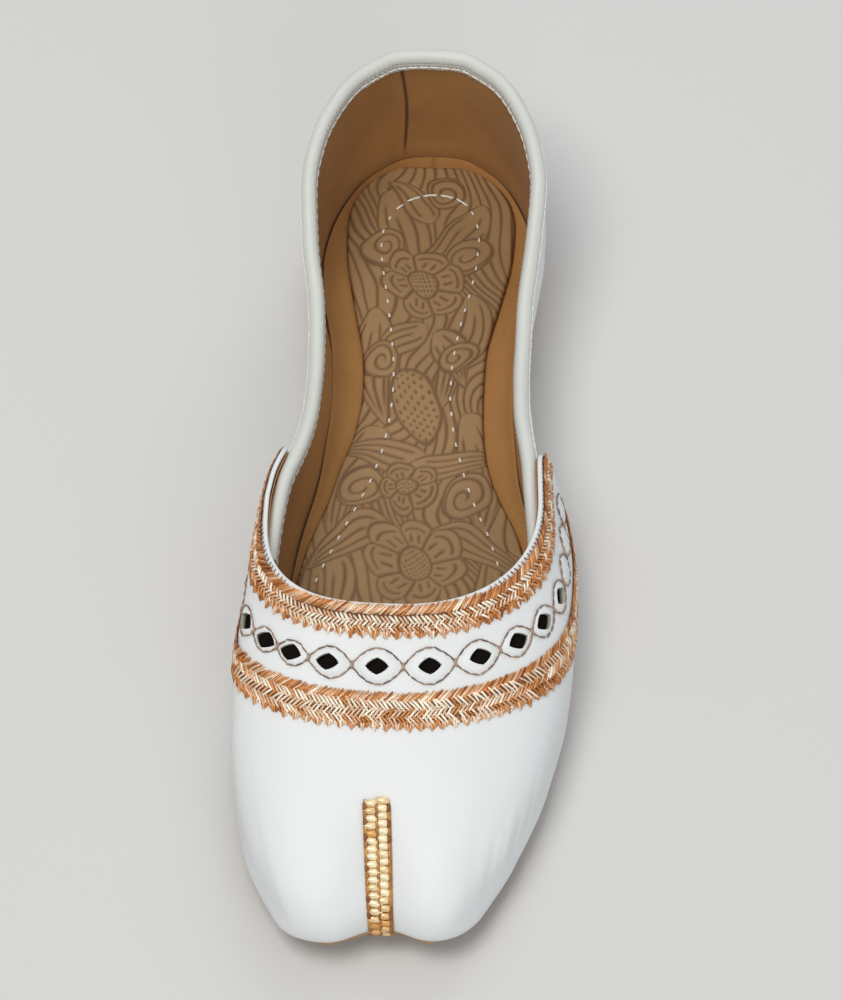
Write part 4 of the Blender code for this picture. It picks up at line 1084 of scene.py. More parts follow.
inside = np.clip(1 - ((chain_depth - CHAIN_DEPTH) / np.maximum(half, 1e-5)) ** 2, 0, 1)
puff = PUFF_HEIGHT * np.sqrt(inside) * ease(half, 0.0008, 0.0035)
line_gap = np.abs(np.abs(chain_depth - CHAIN_DEPTH) - half)
furrow = -FURROW_DEPTH * np.exp(-((line_gap / FURROW_HALF) ** 2)) * (half > 0.0003)
swell = puff + furrow
share = vamp_columns_at[:, None]
for place, low, high, width, height in CREASES:
    beside = (share - place) * 0.33 - 0.02 * (depth - low / 1000)
    starts = ease(depth, low / 1000, (low + CREASE_END) / 1000)
    along = starts * (1 - ease(depth, (high - CREASE_END) / 1000, high / 1000))
    swell = swell + height / 1000 * along * np.exp(-((beside / (width / 1000)) ** 2))
wave = np.sin(VAMP[..., 0] * 260 + VAMP[..., 1] * 90) * np.sin(VAMP[..., 1] * 170 + 1.3)
plain = ease(depth, BAND_DEPTH, BAND_DEPTH + 0.012)
swell = swell + WAVER_HEIGHT * wave * plain
print("leather swells mm:", np.round(1000 * swell.min(), 2), np.round(1000 * swell.max(), 2))

# %% Two faces of the leather
# The rim is rounded by sinking both faces over its last half millimetre.
skin = VAMP + VAMP_OUT * swell[..., None]
edge = np.clip(1 - np.minimum(chain_depth, depth) / RIM_RADIUS, 0, 1)
tuck = RIM_RADIUS * (1 - np.sqrt(np.clip(1 - edge**2, 0, 1)))
skin = skin - VAMP_OUT * tuck[..., None]
back = VAMP - VAMP_OUT * (LEATHER - tuck * 0.6)[..., None]

# %% [markdown]
# ## Cutting the diamonds
# Each diamond is cut right through by a Boolean with a soft-cornered prism. The prism's own
# material goes to the cut faces, which so show the raw edge of the leather.

# %% Sew and cut the vamp
vamp = shell("vamp_leather", skin[::-1], back[::-1], [WHITE])


def diamond_cutter(runs, long, wide):
    points, faces = [], []
    for centre_run in runs:
        (centre,), (out,) = on_vamp(np.array([centre_run]), np.array([CHAIN_DEPTH]))
        ahead, _ = on_vamp(np.array([centre_run + 0.001]), np.array([CHAIN_DEPTH]))
        way = ahead[0] - centre
        way /= np.linalg.norm(way)
        across = np.cross(out, way)
        start = len(points)
        for level in (0.004, -0.004):
            for k in range(16):
                angle = 2 * math.pi * k / 16
                c, s = math.cos(angle), math.sin(angle)
                reach = 1 / (abs(c) ** 1.3 + abs(s) ** 1.3) ** (1 / 1.3)
                beside = reach * (way * c * long + across * s * wide) / 2
                points.append(centre + beside + out * level)
        for k in range(16):
            n = (k + 1) % 16
            faces.append((start + k, start + 16 + k, start + 16 + n, start + n))
        faces.append(tuple(range(start, start + 16)))
        faces.append(tuple(range(start + 31, start + 15, -1)))
    return make_piece("diamond_cutter", points, faces, [RAW_EDGE])


def cut(piece, cutter):
    """Cuts one piece by another for good."""
    modifier = piece.modifiers.new("cut", "BOOLEAN")
    modifier.operation, modifier.solver, modifier.object = "DIFFERENCE", "EXACT", cutter
    modifier.material_mode = "TRANSFER"
    seen = piece.evaluated_get(bpy.context.evaluated_depsgraph_get())
    piece.data = bpy.data.meshes.new_from_object(seen)
    piece.modifiers.clear()


cutter = diamond_cutter(HOLE_RUNS, HOLE_LENGTH * 0.95, HOLE_WIDTH * 0.92)
cut(vamp, cutter)
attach(vamp, "root")
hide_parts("vamp")
bpy.data.objects.remove(cutter, do_unlink=True)
lining_rows = np.arange(len(lip) + 1, VAMP.shape[1], 2)
chain_rows = np.nonzero(np.abs(band_at - CHAIN_DEPTH) < 0.0068)[0]
layers = (
    # name, rows, top and underside below the leather's face, finish, slot
    ("vamp_lining", lining_rows, LEATHER + 0.0003, LEATHER + 0.0006, LINING, "lining_cloth"),
    # The black sheet under the chain is painted shade for the unlit inside seen through the
    # diamonds.
    ("chain_shade_sheet", chain_rows, LEATHER + 0.00003, LEATHER + 0.00025, SHADE_SHEET, "lining_cloth"),
)
for name, rows, high, low, finish, slot in layers:
    face, way = VAMP[::2][:, rows][::-1], VAMP_OUT[::2][:, rows][::-1]
    layer = shell(name, face - way * high, face - way * low, [finish])
    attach(layer, "root")
print("vamp faces:", len(vamp.data.polygons))

# %% [markdown]
# ## Embroidery bands
# Rows of bowed stitches over a thread ground: slanted satin by the edge, two rows that
# lean against each other like basket work, and a row of short ones that end in points.

# %% Ground of the bands
def ground_strip(name, first, last, node):
    """A thin pad of couched thread that the stitches stand on."""
    marks = np.arange(first, last + 1e-6, 0.0007)
    columns = np.linspace(1.5, COLUMNS - 2.5, 300)
    rows = np.interp(marks, band_at, np.arange(BANDS))
    cc, rr = np.meshgrid(columns, rows, indexing="ij")
    at = bilinear(VAMP, cc.ravel(), rr.ravel()).reshape(len(columns), -1, 3)
    out = bilinear(VAMP_OUT, cc.ravel(), rr.ravel()).reshape(len(columns), -1, 3)
    edge = np.minimum(marks - first, last - marks)
    rise = 0.00035 * np.clip(edge / 0.0008, 0.15, 1) ** 0.5
    top = at + out * rise[None, :, None]
    under = at + out * 0.00002
    piece = shell(name, top[::-1], under[::-1], [GROUND])
    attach(piece, "root")
    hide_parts(node)
    return piece


UPPER = (RIM_WIDTH, RIM_WIDTH + UPPER_BAND_WIDTH)
LOWER = (BAND_DEPTH - LOWER_BAND_WIDTH, BAND_DEPTH)
ground_strip("upper_band_ground", UPPER[0], UPPER[1] - 0.0012, "embroidery_upper")
ground_strip("lower_band_ground", LOWER[0] + 0.0004, LOWER[1] - 0.0012, "embroidery_lower")

# %% Rows of stitches
random = np.random.default_rng(7)


def shades(middle, spread, count):
    """One shade from 0 to 1 for each stitch, scattered round the middle one."""
    return np.clip(middle + random.normal(0, spread, count), 0, 1)


def front_share(chain):
    """1 at the front of the throat, 0 round the sides: light and rim change there."""
    return 1 - ease(np.abs(chain - CENTRE_RUN), 0.014, 0.040)


def stitch_row(
    depth_mm, pitch_mm, length_mm, width_mm, slant, shade, rise_mm, pull_mm=0.0, mixed=0.22
):
    """One row of equal stitches along a band; slant in degrees from straight across.

    pull_mm: how far the row moves towards the edge at the front. mixed: spread of shade.
    """
    row = int(np.argmin(np.abs(band_at - depth_mm / 1000)))
    length = run_of(VAMP, row)
    count = int((length[-1] - 0.004) * 1000 / pitch_mm)
    here = np.linspace(0.002, length[-1] - 0.002, count)
    chain = np.interp(here, length, CHAIN_RUN)
    front = front_share(chain)
    deep = (depth_mm - pull_mm * front) / 1000
    at, out = on_vamp(chain, deep)
    ahead, _ = on_vamp(chain + 0.0004, deep)
    down, _ = on_vamp(chain, deep + 0.0005)
    along, across = unit(ahead - at), unit(down - at)
    scale = np.linalg.norm(down - at, axis=1) / 0.0005
    angle = np.radians(slant) + random.normal(0, 0.08, count)
    way = across * np.cos(angle)[:, None] + along * np.sin(angle)[:, None]
    grow = 1 + random.normal(0, 0.08, count)
    size = np.stack([length_mm * grow * scale, width_mm * grow, width_mm * grow], 1) / 1000
    # Stitches at the front of the throat are painted paler: a painted highlight where the light
    # glints off the foil.
    tone = shades(shade + 0.22 * front, mixed, count)
    at = at + out * (rise_mm / 1000) + along * random.normal(0, 0.00005, (count, 1))
    return at, way, out, size, tone


def tooth_row(depth_mm, pitch_mm, shade):
    """Four stitches at a time lean together into one blunt point along the band's edge."""
    at, way, out, size, tone = stitch_row(depth_mm, pitch_mm, 1.7, 0.70, 0, shade, 0.16)
    place = (np.arange(len(at)) % 4 - 1.5) / 1.5
    lean = np.radians(-26 * place)[:, None]
    beside = np.cross(out, way)
    sign = np.sign(np.sum(beside * np.gradient(at, axis=0), axis=1))[:, None]
    way = way * np.cos(lean) + beside * sign * np.sin(lean)
    size[:, 0] *= 1.08 - 0.30 * np.abs(place)
    at = at + way * (size[:, :1] - 0.0014) / 2
    return at, way, out, size, tone


def join(rows):
    return [np.concatenate(values) for values in zip(*rows)]


def band(name, first_mm, width_mm, pull_mm):
    lattice = (width_mm - 2.0 - 1.6) / 3
    rows = [stitch_row(first_mm + 0.9, 0.60, 2.3, 0.52, -46, 0.36, 0.30, pull_mm, 0.20)]
    for k in range(3):
        middle = first_mm + 2.0 + lattice * (k + 0.5)
        slant = 40 if k % 2 == 0 else -40
        rows.append(stitch_row(middle, 1.12, lattice * 1.15, 0.66, slant, 0.74 - 0.12 * k, 0.40))
    rows.append(tooth_row(first_mm + width_mm - 1.5, 0.72, 0.40))
    return sew(name, *join(rows), THREAD, "copper_thread", bow=0.6)


band("upper_band_stitches", UPPER[0] * 1000, UPPER_BAND_WIDTH * 1000, 0.9)
band("lower_band_stitches", LOWER[0] * 1000, LOWER_BAND_WIDTH * 1000, 0.0)

# %% [markdown]
# ## Running stitches of the chain
# Two thin threads cross between the ovals like two waves out of step.

# %% The two waves
def wave_stitches(sign, pitch=0.0023, gap=0.0009):
    runs = np.arange(knots[0], knots[-1], 0.0002)
    cell = np.clip(np.searchsorted(knots, runs) - 1, 0, len(knots) - 2)
    side = np.where(cell % 2 == 0, 1, -1) * sign
    depths = CHAIN_DEPTH + side * oval_half(runs)
    at, out = on_vamp(runs, depths)
    length = run_along(at)
    starts = np.linspace(0.0, length[-1], int(length[-1] / pitch) + 1)[:-1]
    ends = starts + starts[1] - gap
    middles = (starts + ends) / 2
    way = read_at(ends, length, at) - read_at(starts, length, at)
    mid, out = read_at(middles, length, at), read_at(middles, length, out)
    size = np.linalg.norm(way, axis=1)
    way = unit(way / size[:, None] + random.normal(0, 0.07, way.shape))
    width = np.full(len(mid), 0.00042)
    tone = shades(0.40, 0.25, len(mid))
    return mid + out * 0.00005, way, out, np.stack([size, width, width], 1), tone


def knot_stitches():
    crossings = knots[1:-1]
    count = len(crossings)
    at, out = on_vamp(crossings, np.full(count, CHAIN_DEPTH))
    ahead, _ = on_vamp(crossings + 0.0005, np.full(count, CHAIN_DEPTH))
    way = unit(ahead - at)
    size = np.tile([0.0013, 0.0007, 0.0007], (count, 1))
    return at + out * 0.0001, np.cross(out, way), out, size, np.full(count, 0.9)


chain_rows = [wave_stitches(1), wave_stitches(-1), knot_stitches()]
sew("chain_stitches", *join(chain_rows), FINE_THREAD, "copper_thread", bow=0.6)

# %% [markdown]
# ## The toe band
# Two columns of satin bars lie side by side in the valley of the toe, with a dark line
# of couching between them. It runs from the front of the instep down over the tip.

# %% Toe band
def toe_band_line(count):
    """Places, normals and cross directions down the middle of the toe band."""
    foot_path, _ = outline_part(WING_REAR, WING_REAR, by_heel=False)
    share = path_shares(foot_path)
    middle = int(np.argmin(np.abs(foot_path[:, 0])))
    near = slice(middle - 80, middle + 80)
    reach = np.linspace(-2.2, 2.2, 45) * TOE_BAND_WIDTH
    places = np.interp(reach, foot_path[near, 0], share[near])
    grid, normal = vamp_surface(places, [0.0], np.linspace(0, 1, 240))
    tip = TOE_NOTCH_DEPTH - SHOE_LENGTH / 2
    centre = grid[22]
    first = int(np.argmax(centre[:, 1] < tip + TOE_BAND_LENGTH))
    line, out, side = [], [], []
    for row in range(first, grid.shape[1]):
        back_share = np.clip((centre[row, 1] - tip) / TOE_BAND_LENGTH, 0, 1)
        x = TOE_BAND_TIP_X + (TOE_BAND_TOP_X - TOE_BAND_TIP_X) * back_share
        x = x + np.array([-0.0012, 0.0, 0.0012])
        across = grid[:, row, 0]
        p = read_at(x, across, grid[:, row])
        line.append(p[1])
        side.append(p[2] - p[0])
        out.append(read_at(x[1:2], across, normal[:, row])[0])
    line, out, side = map(np.array, (line, out, side))
    have = path_shares(line)
    marks = np.linspace(0, 1, count)
    places, out, side = (read_at(marks, have, values) for values in (line, out, side))
    return places, unit(out), unit(side)


line, out, side = toe_band_line(90)
toe_half = TOE_BAND_WIDTH / 2
TOE_TAPER = 0.16
TOE_BARS, BAR_WIDTH, BAR_HEIGHT = 19, 0.0019, 0.0014
spread = np.array([-1.0, -0.9, -0.5, 0.0, 0.5, 0.9, 1.0]) * toe_half
# The stitching narrows a little towards the tip.
taper = 1 - TOE_TAPER * np.linspace(0, 1, 90)[:, None, None] ** 2
rise = np.array([0.0, 0.00035, 0.0005, 0.00025, 0.0005, 0.00035, 0.0])
across = side[:, None] * spread[None, :, None] * taper
top = line[:, None] + across + out[:, None] * (rise + 0.0002)[None, :, None]
under = line[:, None] + across - out[:, None] * 0.0002
toe_ground = shell("toe_band_ground", top, under, [GROUND])
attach(toe_ground, "root")
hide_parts("toe_band")

# %% Bars and side threads of the toe band
line, out, side = toe_band_line(TOE_BARS * 2 + 2)
side = side * (1 - TOE_TAPER * np.linspace(0, 1, len(line))[:, None] ** 2)
TOE_LANES = (
    # share of the half-width, thickness and height in metres: outer thread, middle thread
    (0.89, 0.0012, 0.0006),
    (0.03, 0.0008, 0.0009),
)
toe_rows = []
for sign in (-1, 1):
    # The two columns are half a bar out of step.
    bar = slice(1, None, 2) if sign < 0 else slice(0, None, 2)
    count = len(line[bar])
    at = line[bar] + side[bar] * sign * toe_half * 0.41 + out[bar] * 0.0005
    way = unit(side[bar] + random.normal(0, 0.07, (count, 3)))
    size = np.tile([toe_half * 0.72, BAR_WIDTH, BAR_HEIGHT], (count, 1))
    fade = 0.95 - 0.6 * np.linspace(0, 1, count) ** 4
    tone = shades(fade, 0.14, count)
    toe_rows.append((at, way, out[bar], size, tone))
    for lane, width, lift in TOE_LANES:
        at = line[2::2] + side[2::2] * sign * toe_half * lane + out[2::2] * lift
        way = unit(np.gradient(line, axis=0)[2::2])
        size = np.tile([0.0016, width, width], (len(at), 1))
        tone = shades(0.12, 0.10, len(at))
        toe_rows.append((at, way, out[2::2], size, tone))
sew("toe_band_stitches", *join(toe_rows), TOE_THREAD, "copper_thread", bow=0.5, sides=8)

# %% [markdown]
# ## The back of the shoe
# One wall runs round the heel inside the vamp's wings. Outside it is white leather,
# inside tan lining, and a folded strip closes its top edge. The wall is read from the same
# surface as the vamp, with more columns near the heel, where the lining has a sharp fold.

# %% Counter
def curl_height(y):
    """Height of the curl of the board's cover: it dies away round the heel."""
    along = y_to_along(y)
    full = BOARD_CURL_HEIGHT * curl_width(along) / BOARD_CURL_WIDTH
    return full * (1 - 0.85 * ease(along, 0.76, 0.86))


# The cloth and strip reach a little further under the vamp's wings than their solids do.
QUARTER_FRONT -= 0.045
BACK_COLUMNS = 281
COUNTER_LEATHER = 0.0009
LINING_BACK = 0.00095
back_at = np.linspace(0, 1, BACK_COLUMNS)
back_at = np.union1d(back_at[np.abs(back_at - 0.5) > 0.042], np.linspace(0.46, 0.54, 180))
back_curves = quarter_columns(back_at)
back_length = curve_lengths(back_curves) - collar_drop(y_to_along(back_curves[:, -1, 1]))
down = np.linspace(0, 1, 44)[None, :]
start = BINDING_THICKNESS + CLEARANCE
back_rows = start + (back_length[:, None] - start) * down
BACK, BACK_OUT = quarter_surface(back_at, back_rows)
ripple = WAVER_HEIGHT * np.sin(BACK[..., 1] * 300 + BACK[..., 2] * 120)
ripple = ripple * np.sin(BACK[..., 2] * 190)
outside = BACK + BACK_OUT * ripple[..., None]
counter = shell("counter_leather", outside, BACK - BACK_OUT * COUNTER_LEATHER, [WHITE])
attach(counter, "root")
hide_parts("quarter")
print("counter:", BACK.shape)

# %% [markdown]
# ## The lining of the back
# The lining is glued in by hand: it swells a little and has one pressed fold at the heel.
# At its foot it turns in and meets the curl of the board's cover, so no gap shows.

# %% Lining with its fold
heel = BACK[:, 0, 1] > along_to_y(0.9)
FOLD_X, FOLD_HALF, FOLD_DEPTH = -0.0085, 0.00045, 0.0006
fold_at = back_at[heel][np.argmin(np.abs(BACK[heel, 0, 0] - FOLD_X))]
inwards = np.sign(BACK[heel][0, 0, 0])
fold_run = (back_at[:, None] - fold_at) * 0.33 * inwards + 0.0016 * np.sin(down * 3.4)
fold = np.exp(-((fold_run / FOLD_HALF) ** 2)) * (1 - ease(down, 0.80, 0.98))
soft = 0.0002 * np.sin(back_at[:, None] * 60) * np.sin(down * 9)
lining_face = BACK - BACK_OUT * (QUARTER_WALL + soft - FOLD_DEPTH * fold)[..., None]
curl_top = lining_face[:, -1:, 2] + BOARD_THICKNESS + curl_height(lining_face[:, -1:, 1])
turn_in = 1 - ease(lining_face[..., 2], curl_top - 0.0010, curl_top + 0.0065)
foot_plan = lining_face[:, -1:, :2]
lining_face[..., :2] += (foot_plan - lining_face[..., :2]) * turn_in[..., None]
back_lining = shell("counter_lining", BACK - BACK_OUT * LINING_BACK, lining_face, [LINING])
# The darkening along the fold is painted shade in the crease.
point_value(back_lining, "crease_shade", np.tile(0.85 * fold.ravel(), 2))
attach(back_lining, "root")
print("fold at mm:", np.round(1000 * FOLD_X, 1), "lining faces:", len(back_lining.data.polygons))

# %% [markdown]
# ## The folded strip
# The strip is cut on the straight and pulled over the edge: its inner margin is left raw
# and wavers, and its outer side is pressed into fine ribs by the sewing. Its section is one
# closed list of depths and offsets, swept round the collar like a moulding.

# %% Section of the strip
strip_at = np.linspace(0, 1, 901)
# waver: how unevenly the raw inner margin was cut, in metres
waver = 0.00035 * np.sin(strip_at * 190) + 0.00025 * np.sin(strip_at * 433 + 1)
waver = waver + 0.00015 * np.sin(strip_at * 911)
outer_deep, inner_deep = BINDING_OUTER_DEPTH, BINDING_INNER_DEPTH
ARCH_HEIGHT, ARCH_FOOT, RAW_MARGIN = 0.0024, 0.0026, 0.0004
RIB_HEIGHT, RIB_RATE = 0.00016, 6500
SEAM_SINK, SEAM_HALF = 0.00045, 0.0006
wall = QUARTER_WALL + CLEARANCE
fold_half = (wall + CLEARANCE) / 2 + BINDING_THICKNESS
section = [(outer_deep, CLEARANCE * 0.3), (outer_deep, BINDING_THICKNESS)]
ribs = np.linspace(outer_deep - RAW_MARGIN, ARCH_FOOT, 8)
rib_base = CLEARANCE + BINDING_THICKNESS
section += [(d, rib_base + RIB_HEIGHT * math.sin(d * RIB_RATE)) for d in ribs]
centre_offset = (CLEARANCE - wall) / 2
for angle in np.linspace(math.pi / 2, -math.pi / 2, 15):
    over = centre_offset + fold_half * math.sin(angle)
    section.append((ARCH_HEIGHT * (1 - math.cos(angle)), over))
seam_at = inner_deep * 0.74
for d in np.linspace(ARCH_FOOT, inner_deep - RAW_MARGIN, 14):
    sunk = SEAM_SINK * math.exp(-(((d - seam_at) / SEAM_HALF) ** 2))
    sunk = sunk - 0.0001 * math.sin(d * 4200)
    section.append((d, -wall - BINDING_THICKNESS + sunk))
section += [(inner_deep, -wall - BINDING_THICKNESS * 0.6), (inner_deep, -wall)]
section += [(BINDING_THICKNESS, -wall), (BINDING_THICKNESS, CLEARANCE * 0.3)]
depths = np.array([d for d, _ in section])
offsets = np.array([o for _, o in section])
print("strip section points:", len(section))

# %% Strip swept round the collar
order, place = np.unique(np.round(depths, 7), return_inverse=True)
strip_face, strip_out = quarter_surface(strip_at, np.tile(order, (len(strip_at), 1)))
raw = np.isclose(depths, inner_deep)[None, :] * waver[:, None]
ring = strip_face[:, place] + strip_out[:, place] * offsets[None, :, None]
ring[..., 2] -= raw
inner_side = np.clip((-offsets - wall) / BINDING_THICKNESS, 0, 1) * (depths > 0.0008)
pleat = 0.00018 * np.sin(strip_at * 1400 + 3 * np.sin(strip_at * 60))
pleat = pleat * (0.5 + 0.5 * np.sin(strip_at * 87))
ring -= strip_out[:, place] * (pleat[:, None] * inner_side[None, :])[..., None]
index = np.arange(ring.shape[0] * ring.shape[1]).reshape(ring.shape[:2])
turned = np.roll(index, -1, axis=1)
sides = np.stack([turned[:-1], turned[1:], index[1:], index[:-1]], -1).reshape(-1, 4).tolist()
ends = [index[0][::-1].tolist(), index[-1].tolist()]
binding = make_piece("collar_strip", ring.reshape(-1, 3), sides + ends, [STRIP])
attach(binding, "root")
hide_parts("collar_binding")
print("strip grid:", ring.shape)


# %% Stitches of the strip
def back_row(depth_in, offset, pitch, length, width, tone, first=0.0, last=1.0):
    """A row of stitches along the collar at a depth from its top edge."""
    marks = np.linspace(first, last, 900)
    face, normal = quarter_surface(marks, np.tile([depth_in, depth_in + 0.0006], (900, 1)))
    face, normal = face[:, 0], normal[:, 0]
    face = face + normal * offset
    run = run_along(face)
    here = np.arange(pitch / 2, run[-1], pitch)
    at, out = read_at(here, run, face), read_at(here, run, normal) * np.sign(offset)
    way = unit(read_at(here + 0.0003, run, face) - at)
    count = len(here)
    size = np.tile([length, width, width], (count, 1))
    return at, way, out, size, shades(tone, 0.1, count)


strip_rows = [
    back_row(outer_deep * 0.72, CLEARANCE + BINDING_THICKNESS, 0.0026, 0.0021, 0.00045, 0.7),
    back_row(seam_at, -wall - BINDING_THICKNESS + 0.0001, 0.0029, 0.0019, 0.00055, 0.9),
]
sew("collar_stitches", *join(strip_rows), WHITE_THREAD, "binding_strip", bow=0.4)

# %% [markdown]
# ## The rim of the throat
# Small pricked stitches along the rim pull the folded edge into a row of teeth. They show
# at the sides alone, because in front the upper band is sewn right over the edge.

# %% Rim of the throat
row = stitch_row(0.95, 1.35, 1.0, 0.34, 12, 0.25, 0.06)
at_sides = row[0][:, 1] - row[0][:, 1].min() > 0.006
rim = [values[at_sides] for values in row]
sew("rim_stitches", *rim, FINE_THREAD, "copper_thread", bow=0.4, steps=4, sides=5)

# %% [markdown]
# ## Inside the shoe
# The covered board carries the pad. The pad's flowers are pressed by a heated plate, so
# every line is a groove with soft shoulders. The board comes first: rings of points that
# shrink from the wall to the middle, with the lining's curl where it meets the wall.

# %% Board and curl of the lining
def ring_inside(distance, count=240):
    """A closed loop inside the feather line, as plan points."""
    edge = at_shares(FEATHER, np.linspace(0, 1, count + 1))
    along = y_to_along(edge[:, 1])
    normal = outward(edge, closed=True)
    return edge - normal * (wall_depth(along) + distance * curl_width(along))[:, None]


def board_height(y, curl):
    return sole_top(y) + CLEARANCE + BOARD_THICKNESS + curl_height(y) * curl


ring_steps = np.concatenate([np.linspace(-0.1, 1, 10), [1.3, 1.8]])
rings = [ring_inside(d) for d in ring_steps]
last_ring = rings[-1]
for k in range(1, 13):
    rings.append(last_ring * (1 - k / 13 * np.array([1.0, 0.35 * k / 13])))
loops = []
for k, loop in enumerate(rings):
    curl = np.clip(1 - ring_steps[k], 0, 1) ** 2 if k < len(ring_steps) else 0.0
    loops.append(np.column_stack([loop, board_height(loop[:, 1], curl)]))
loops = np.stack(loops, 1)
below = loops.copy()
below[..., 2] -= BOARD_THICKNESS * 0.7
board = shell("covered_board", loops, below, [LINING])
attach(board, "root")
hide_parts("insole_board")

# %% [markdown]
# ## Drawing the pressed flowers
# Motifs are laid over one another like paper shapes. Each gives two fields over the pad:
# how far a point lies inside its outline, and how deep its own inner lines are there. A
# field needs no mesh of its own, so the drawing can be changed by a line of the table.

# %% Grooves and leaves
GROOVE_HALF = 0.36  # mm


def press(gap):
    """Depth share of a groove at a distance from its middle, in mm."""
    return np.exp(-((gap / GROOVE_HALF) ** 2))


def local(x, y, heading):
    """Pad points in a motif's own frame: along its heading and across it, in mm."""
    c, s = math.cos(math.radians(heading)), math.sin(math.radians(heading))
    return (X - x) * c + (Y - y) * s, (Y - y) * c - (X - x) * s


def plume(x, y, heading, length, width, bend, veins):
    """A long leaf: inner lines sweep along it side by side from base to tip."""
    u, v = local(x, y, heading)
    v = v - bend * u * u / length
    share = np.clip(u / length, 0, 1)
    half = width / 2 * np.sin(math.pi * share**0.7) ** 0.75
    past_end = -np.hypot(np.minimum(u, length - u), v)
    inside = np.where((u < 0) | (u > length), past_end, half - np.abs(v))
    lines = np.zeros_like(u)
    for k in range(veins):
        level = 2 * ((k + 0.5) / veins if veins % 2 == 0 else (k + 1) / (veins + 1)) - 1
        start = 0.10 + 0.10 * (k % 2)
        fade = ease(share, start, start + 0.08) * (1 - ease(share, 0.74 + 0.07 * (k % 3), 0.95))
        lines = np.maximum(lines, press(v - level * half) * fade)
    return inside, lines


# %% Flowers, scrolls and seed heads
def bloom(x, y, radius, turn, petals):
    """A round open flower: ruffled petals, each with inner lines, round a seeded heart."""
    u, v = local(x, y, turn)
    r, a = np.hypot(u, v), np.arctan2(v, u)
    lobe = np.abs(np.cos(petals * a / 2))
    edge = radius * (0.76 + 0.24 * lobe**0.6)
    off = (a * petals / (2 * math.pi) + 0.5) % 1 - 0.5
    across = r * np.abs(off) * 2 * math.pi / petals
    gap_line = r * (0.5 - np.abs(off)) * 2 * math.pi / petals
    lines = press(r - 0.34 * radius)
    lines = np.maximum(lines, press(gap_line) * (r > 0.34 * radius))
    lines = np.maximum(lines, press(r - edge * 0.80) * (lobe > 0.45))
    ray = ease(r, 0.42 * radius, 0.46 * radius) * (1 - ease(r, 0.60 * radius, 0.70 * radius))
    lines = np.maximum(lines, press(across - 0.09 * radius) * ray)
    dots = np.cos(u * 2.9) * np.cos(v * 2.9)
    lines = np.maximum(lines, ease(np.abs(dots), 0.45, 0.9) * (r < 0.29 * radius))
    return edge - r, lines


def curl(x, y, radius, turn, side):
    """A scroll that winds in on itself."""
    u, v = local(x, y, turn)
    r, a = np.hypot(u, v), np.arctan2(v, u) * side
    pitch = radius / 2.1
    wound = (r / pitch + a / (2 * math.pi)) % 1 - 0.5
    return radius - r, press(wound * pitch) * ease(r, 0.6, 1.0)


def seed_head(x, y, heading, length, width):
    """An oval of small pressed dashes."""
    u, v = local(x, y, heading)
    row = np.round(v / 1.7)
    dash = press(v - row * 1.7) * ease(np.cos((u + row * 1.25) * 2.5), 0.1, 0.6)
    return (1 - (u / length * 2) ** 2 - (v / width * 2) ** 2) * width / 4, dash


def streams():
    """Long flowing lines behind the motifs, from heel to toe."""

    def flow(x, y):
        return x + 7 * np.sin(y / 15 + 0.8) + 3.2 * np.sin(y / 6.5 + x / 9) + 0.10 * y

    value = flow(X, Y)
    slope = np.hypot(flow(X + 0.1, Y) - value, flow(X, Y + 0.1) - value) / 0.1
    return press(((value / 2.6 + 0.5) % 1 - 0.5) * 2.6 / slope)


MOTIFS = (
    # lowest first; lengths in mm from the shoe's middle, angles in degrees
    (plume, -12, 104, 285, 34, 13, 0.30, 3), (plume, 13, 100, 252, 32, 12, -0.30, 4),
    (plume, -13, 66, 262, 34, 12, 0.28, 4), (plume, 12, 72, 275, 34, 12, -0.26, 3),
    (plume, -9, 30, 235, 34, 14, 0.30, 4), (plume, 12, 34, 300, 36, 14, -0.30, 4),
    (plume, -22, -4, 265, 40, 15, 0.26, 5), (plume, 24, -4, 272, 42, 15, -0.24, 5),
    (plume, -30, -34, 285, 38, 14, 0.26, 4), (plume, 32, -36, 256, 40, 14, -0.28, 4),
    (plume, -20, -66, 300, 34, 13, 0.30, 4), (plume, 22, -66, 245, 34, 13, -0.30, 4),
    (plume, 0, -70, 262, 30, 12, 0.20, 3), (plume, -6, -24, 250, 30, 12, -0.30, 4),
    (plume, 10, -22, 290, 30, 12, 0.30, 4), (plume, 0, 96, 120, 16, 9, 0.3, 2),
    (plume, 2, 24, 200, 24, 9, -0.35, 3), (plume, -2, 22, 340, 24, 9, 0.35, 3),
    (plume, -4, 2, 190, 26, 10, 0.32, 3), (plume, 6, 0, 350, 26, 10, -0.32, 3),
    (plume, -8, -50, 175, 24, 10, 0.34, 3), (plume, 8, -50, 8, 26, 10, -0.34, 3),
    (plume, 0, 62, 210, 20, 9, 0.35, 3), (plume, 2, 60, 325, 20, 9, -0.35, 3),
    (curl, -11, 86, 6.0, 40, 1), (curl, 12, 84, 6.2, 200, -1), (curl, -10, 50, 5.2, 90, -1),
    (curl, 10, 52, 5.0, 10, 1), (curl, -13, 12, 6.0, 300, 1), (curl, 15, 10, 6.4, 60, -1),
    (curl, -26, -24, 6.5, 120, 1), (curl, 27, -22, 6.2, 20, -1), (curl, -14, -46, 6.2, 220, -1),
    (curl, 16, -46, 6.4, 320, 1), (curl, -30, -56, 5.8, 80, 1), (curl, 30, -60, 6.0, 110, -1),
    (curl, 0, -88, 6.0, 270, 1), (curl, 3, 106, 4.6, 180, 1),
    (seed_head, 0, 38, 100, 22, 13), (seed_head, 24, -42, 70, 18, 9),
    (seed_head, -24, -74, 110, 14, 8),
    (bloom, 0, 76, 11.5, 12, 6), (bloom, 1, -8, 13.5, 30, 7), (bloom, -16, -60, 12.0, 8, 6),
    (bloom, 14, -66, 11.5, 40, 6), (bloom, -1, 14, 8.0, 50, 5), (bloom, 0, -36, 8.5, 20, 5),
)


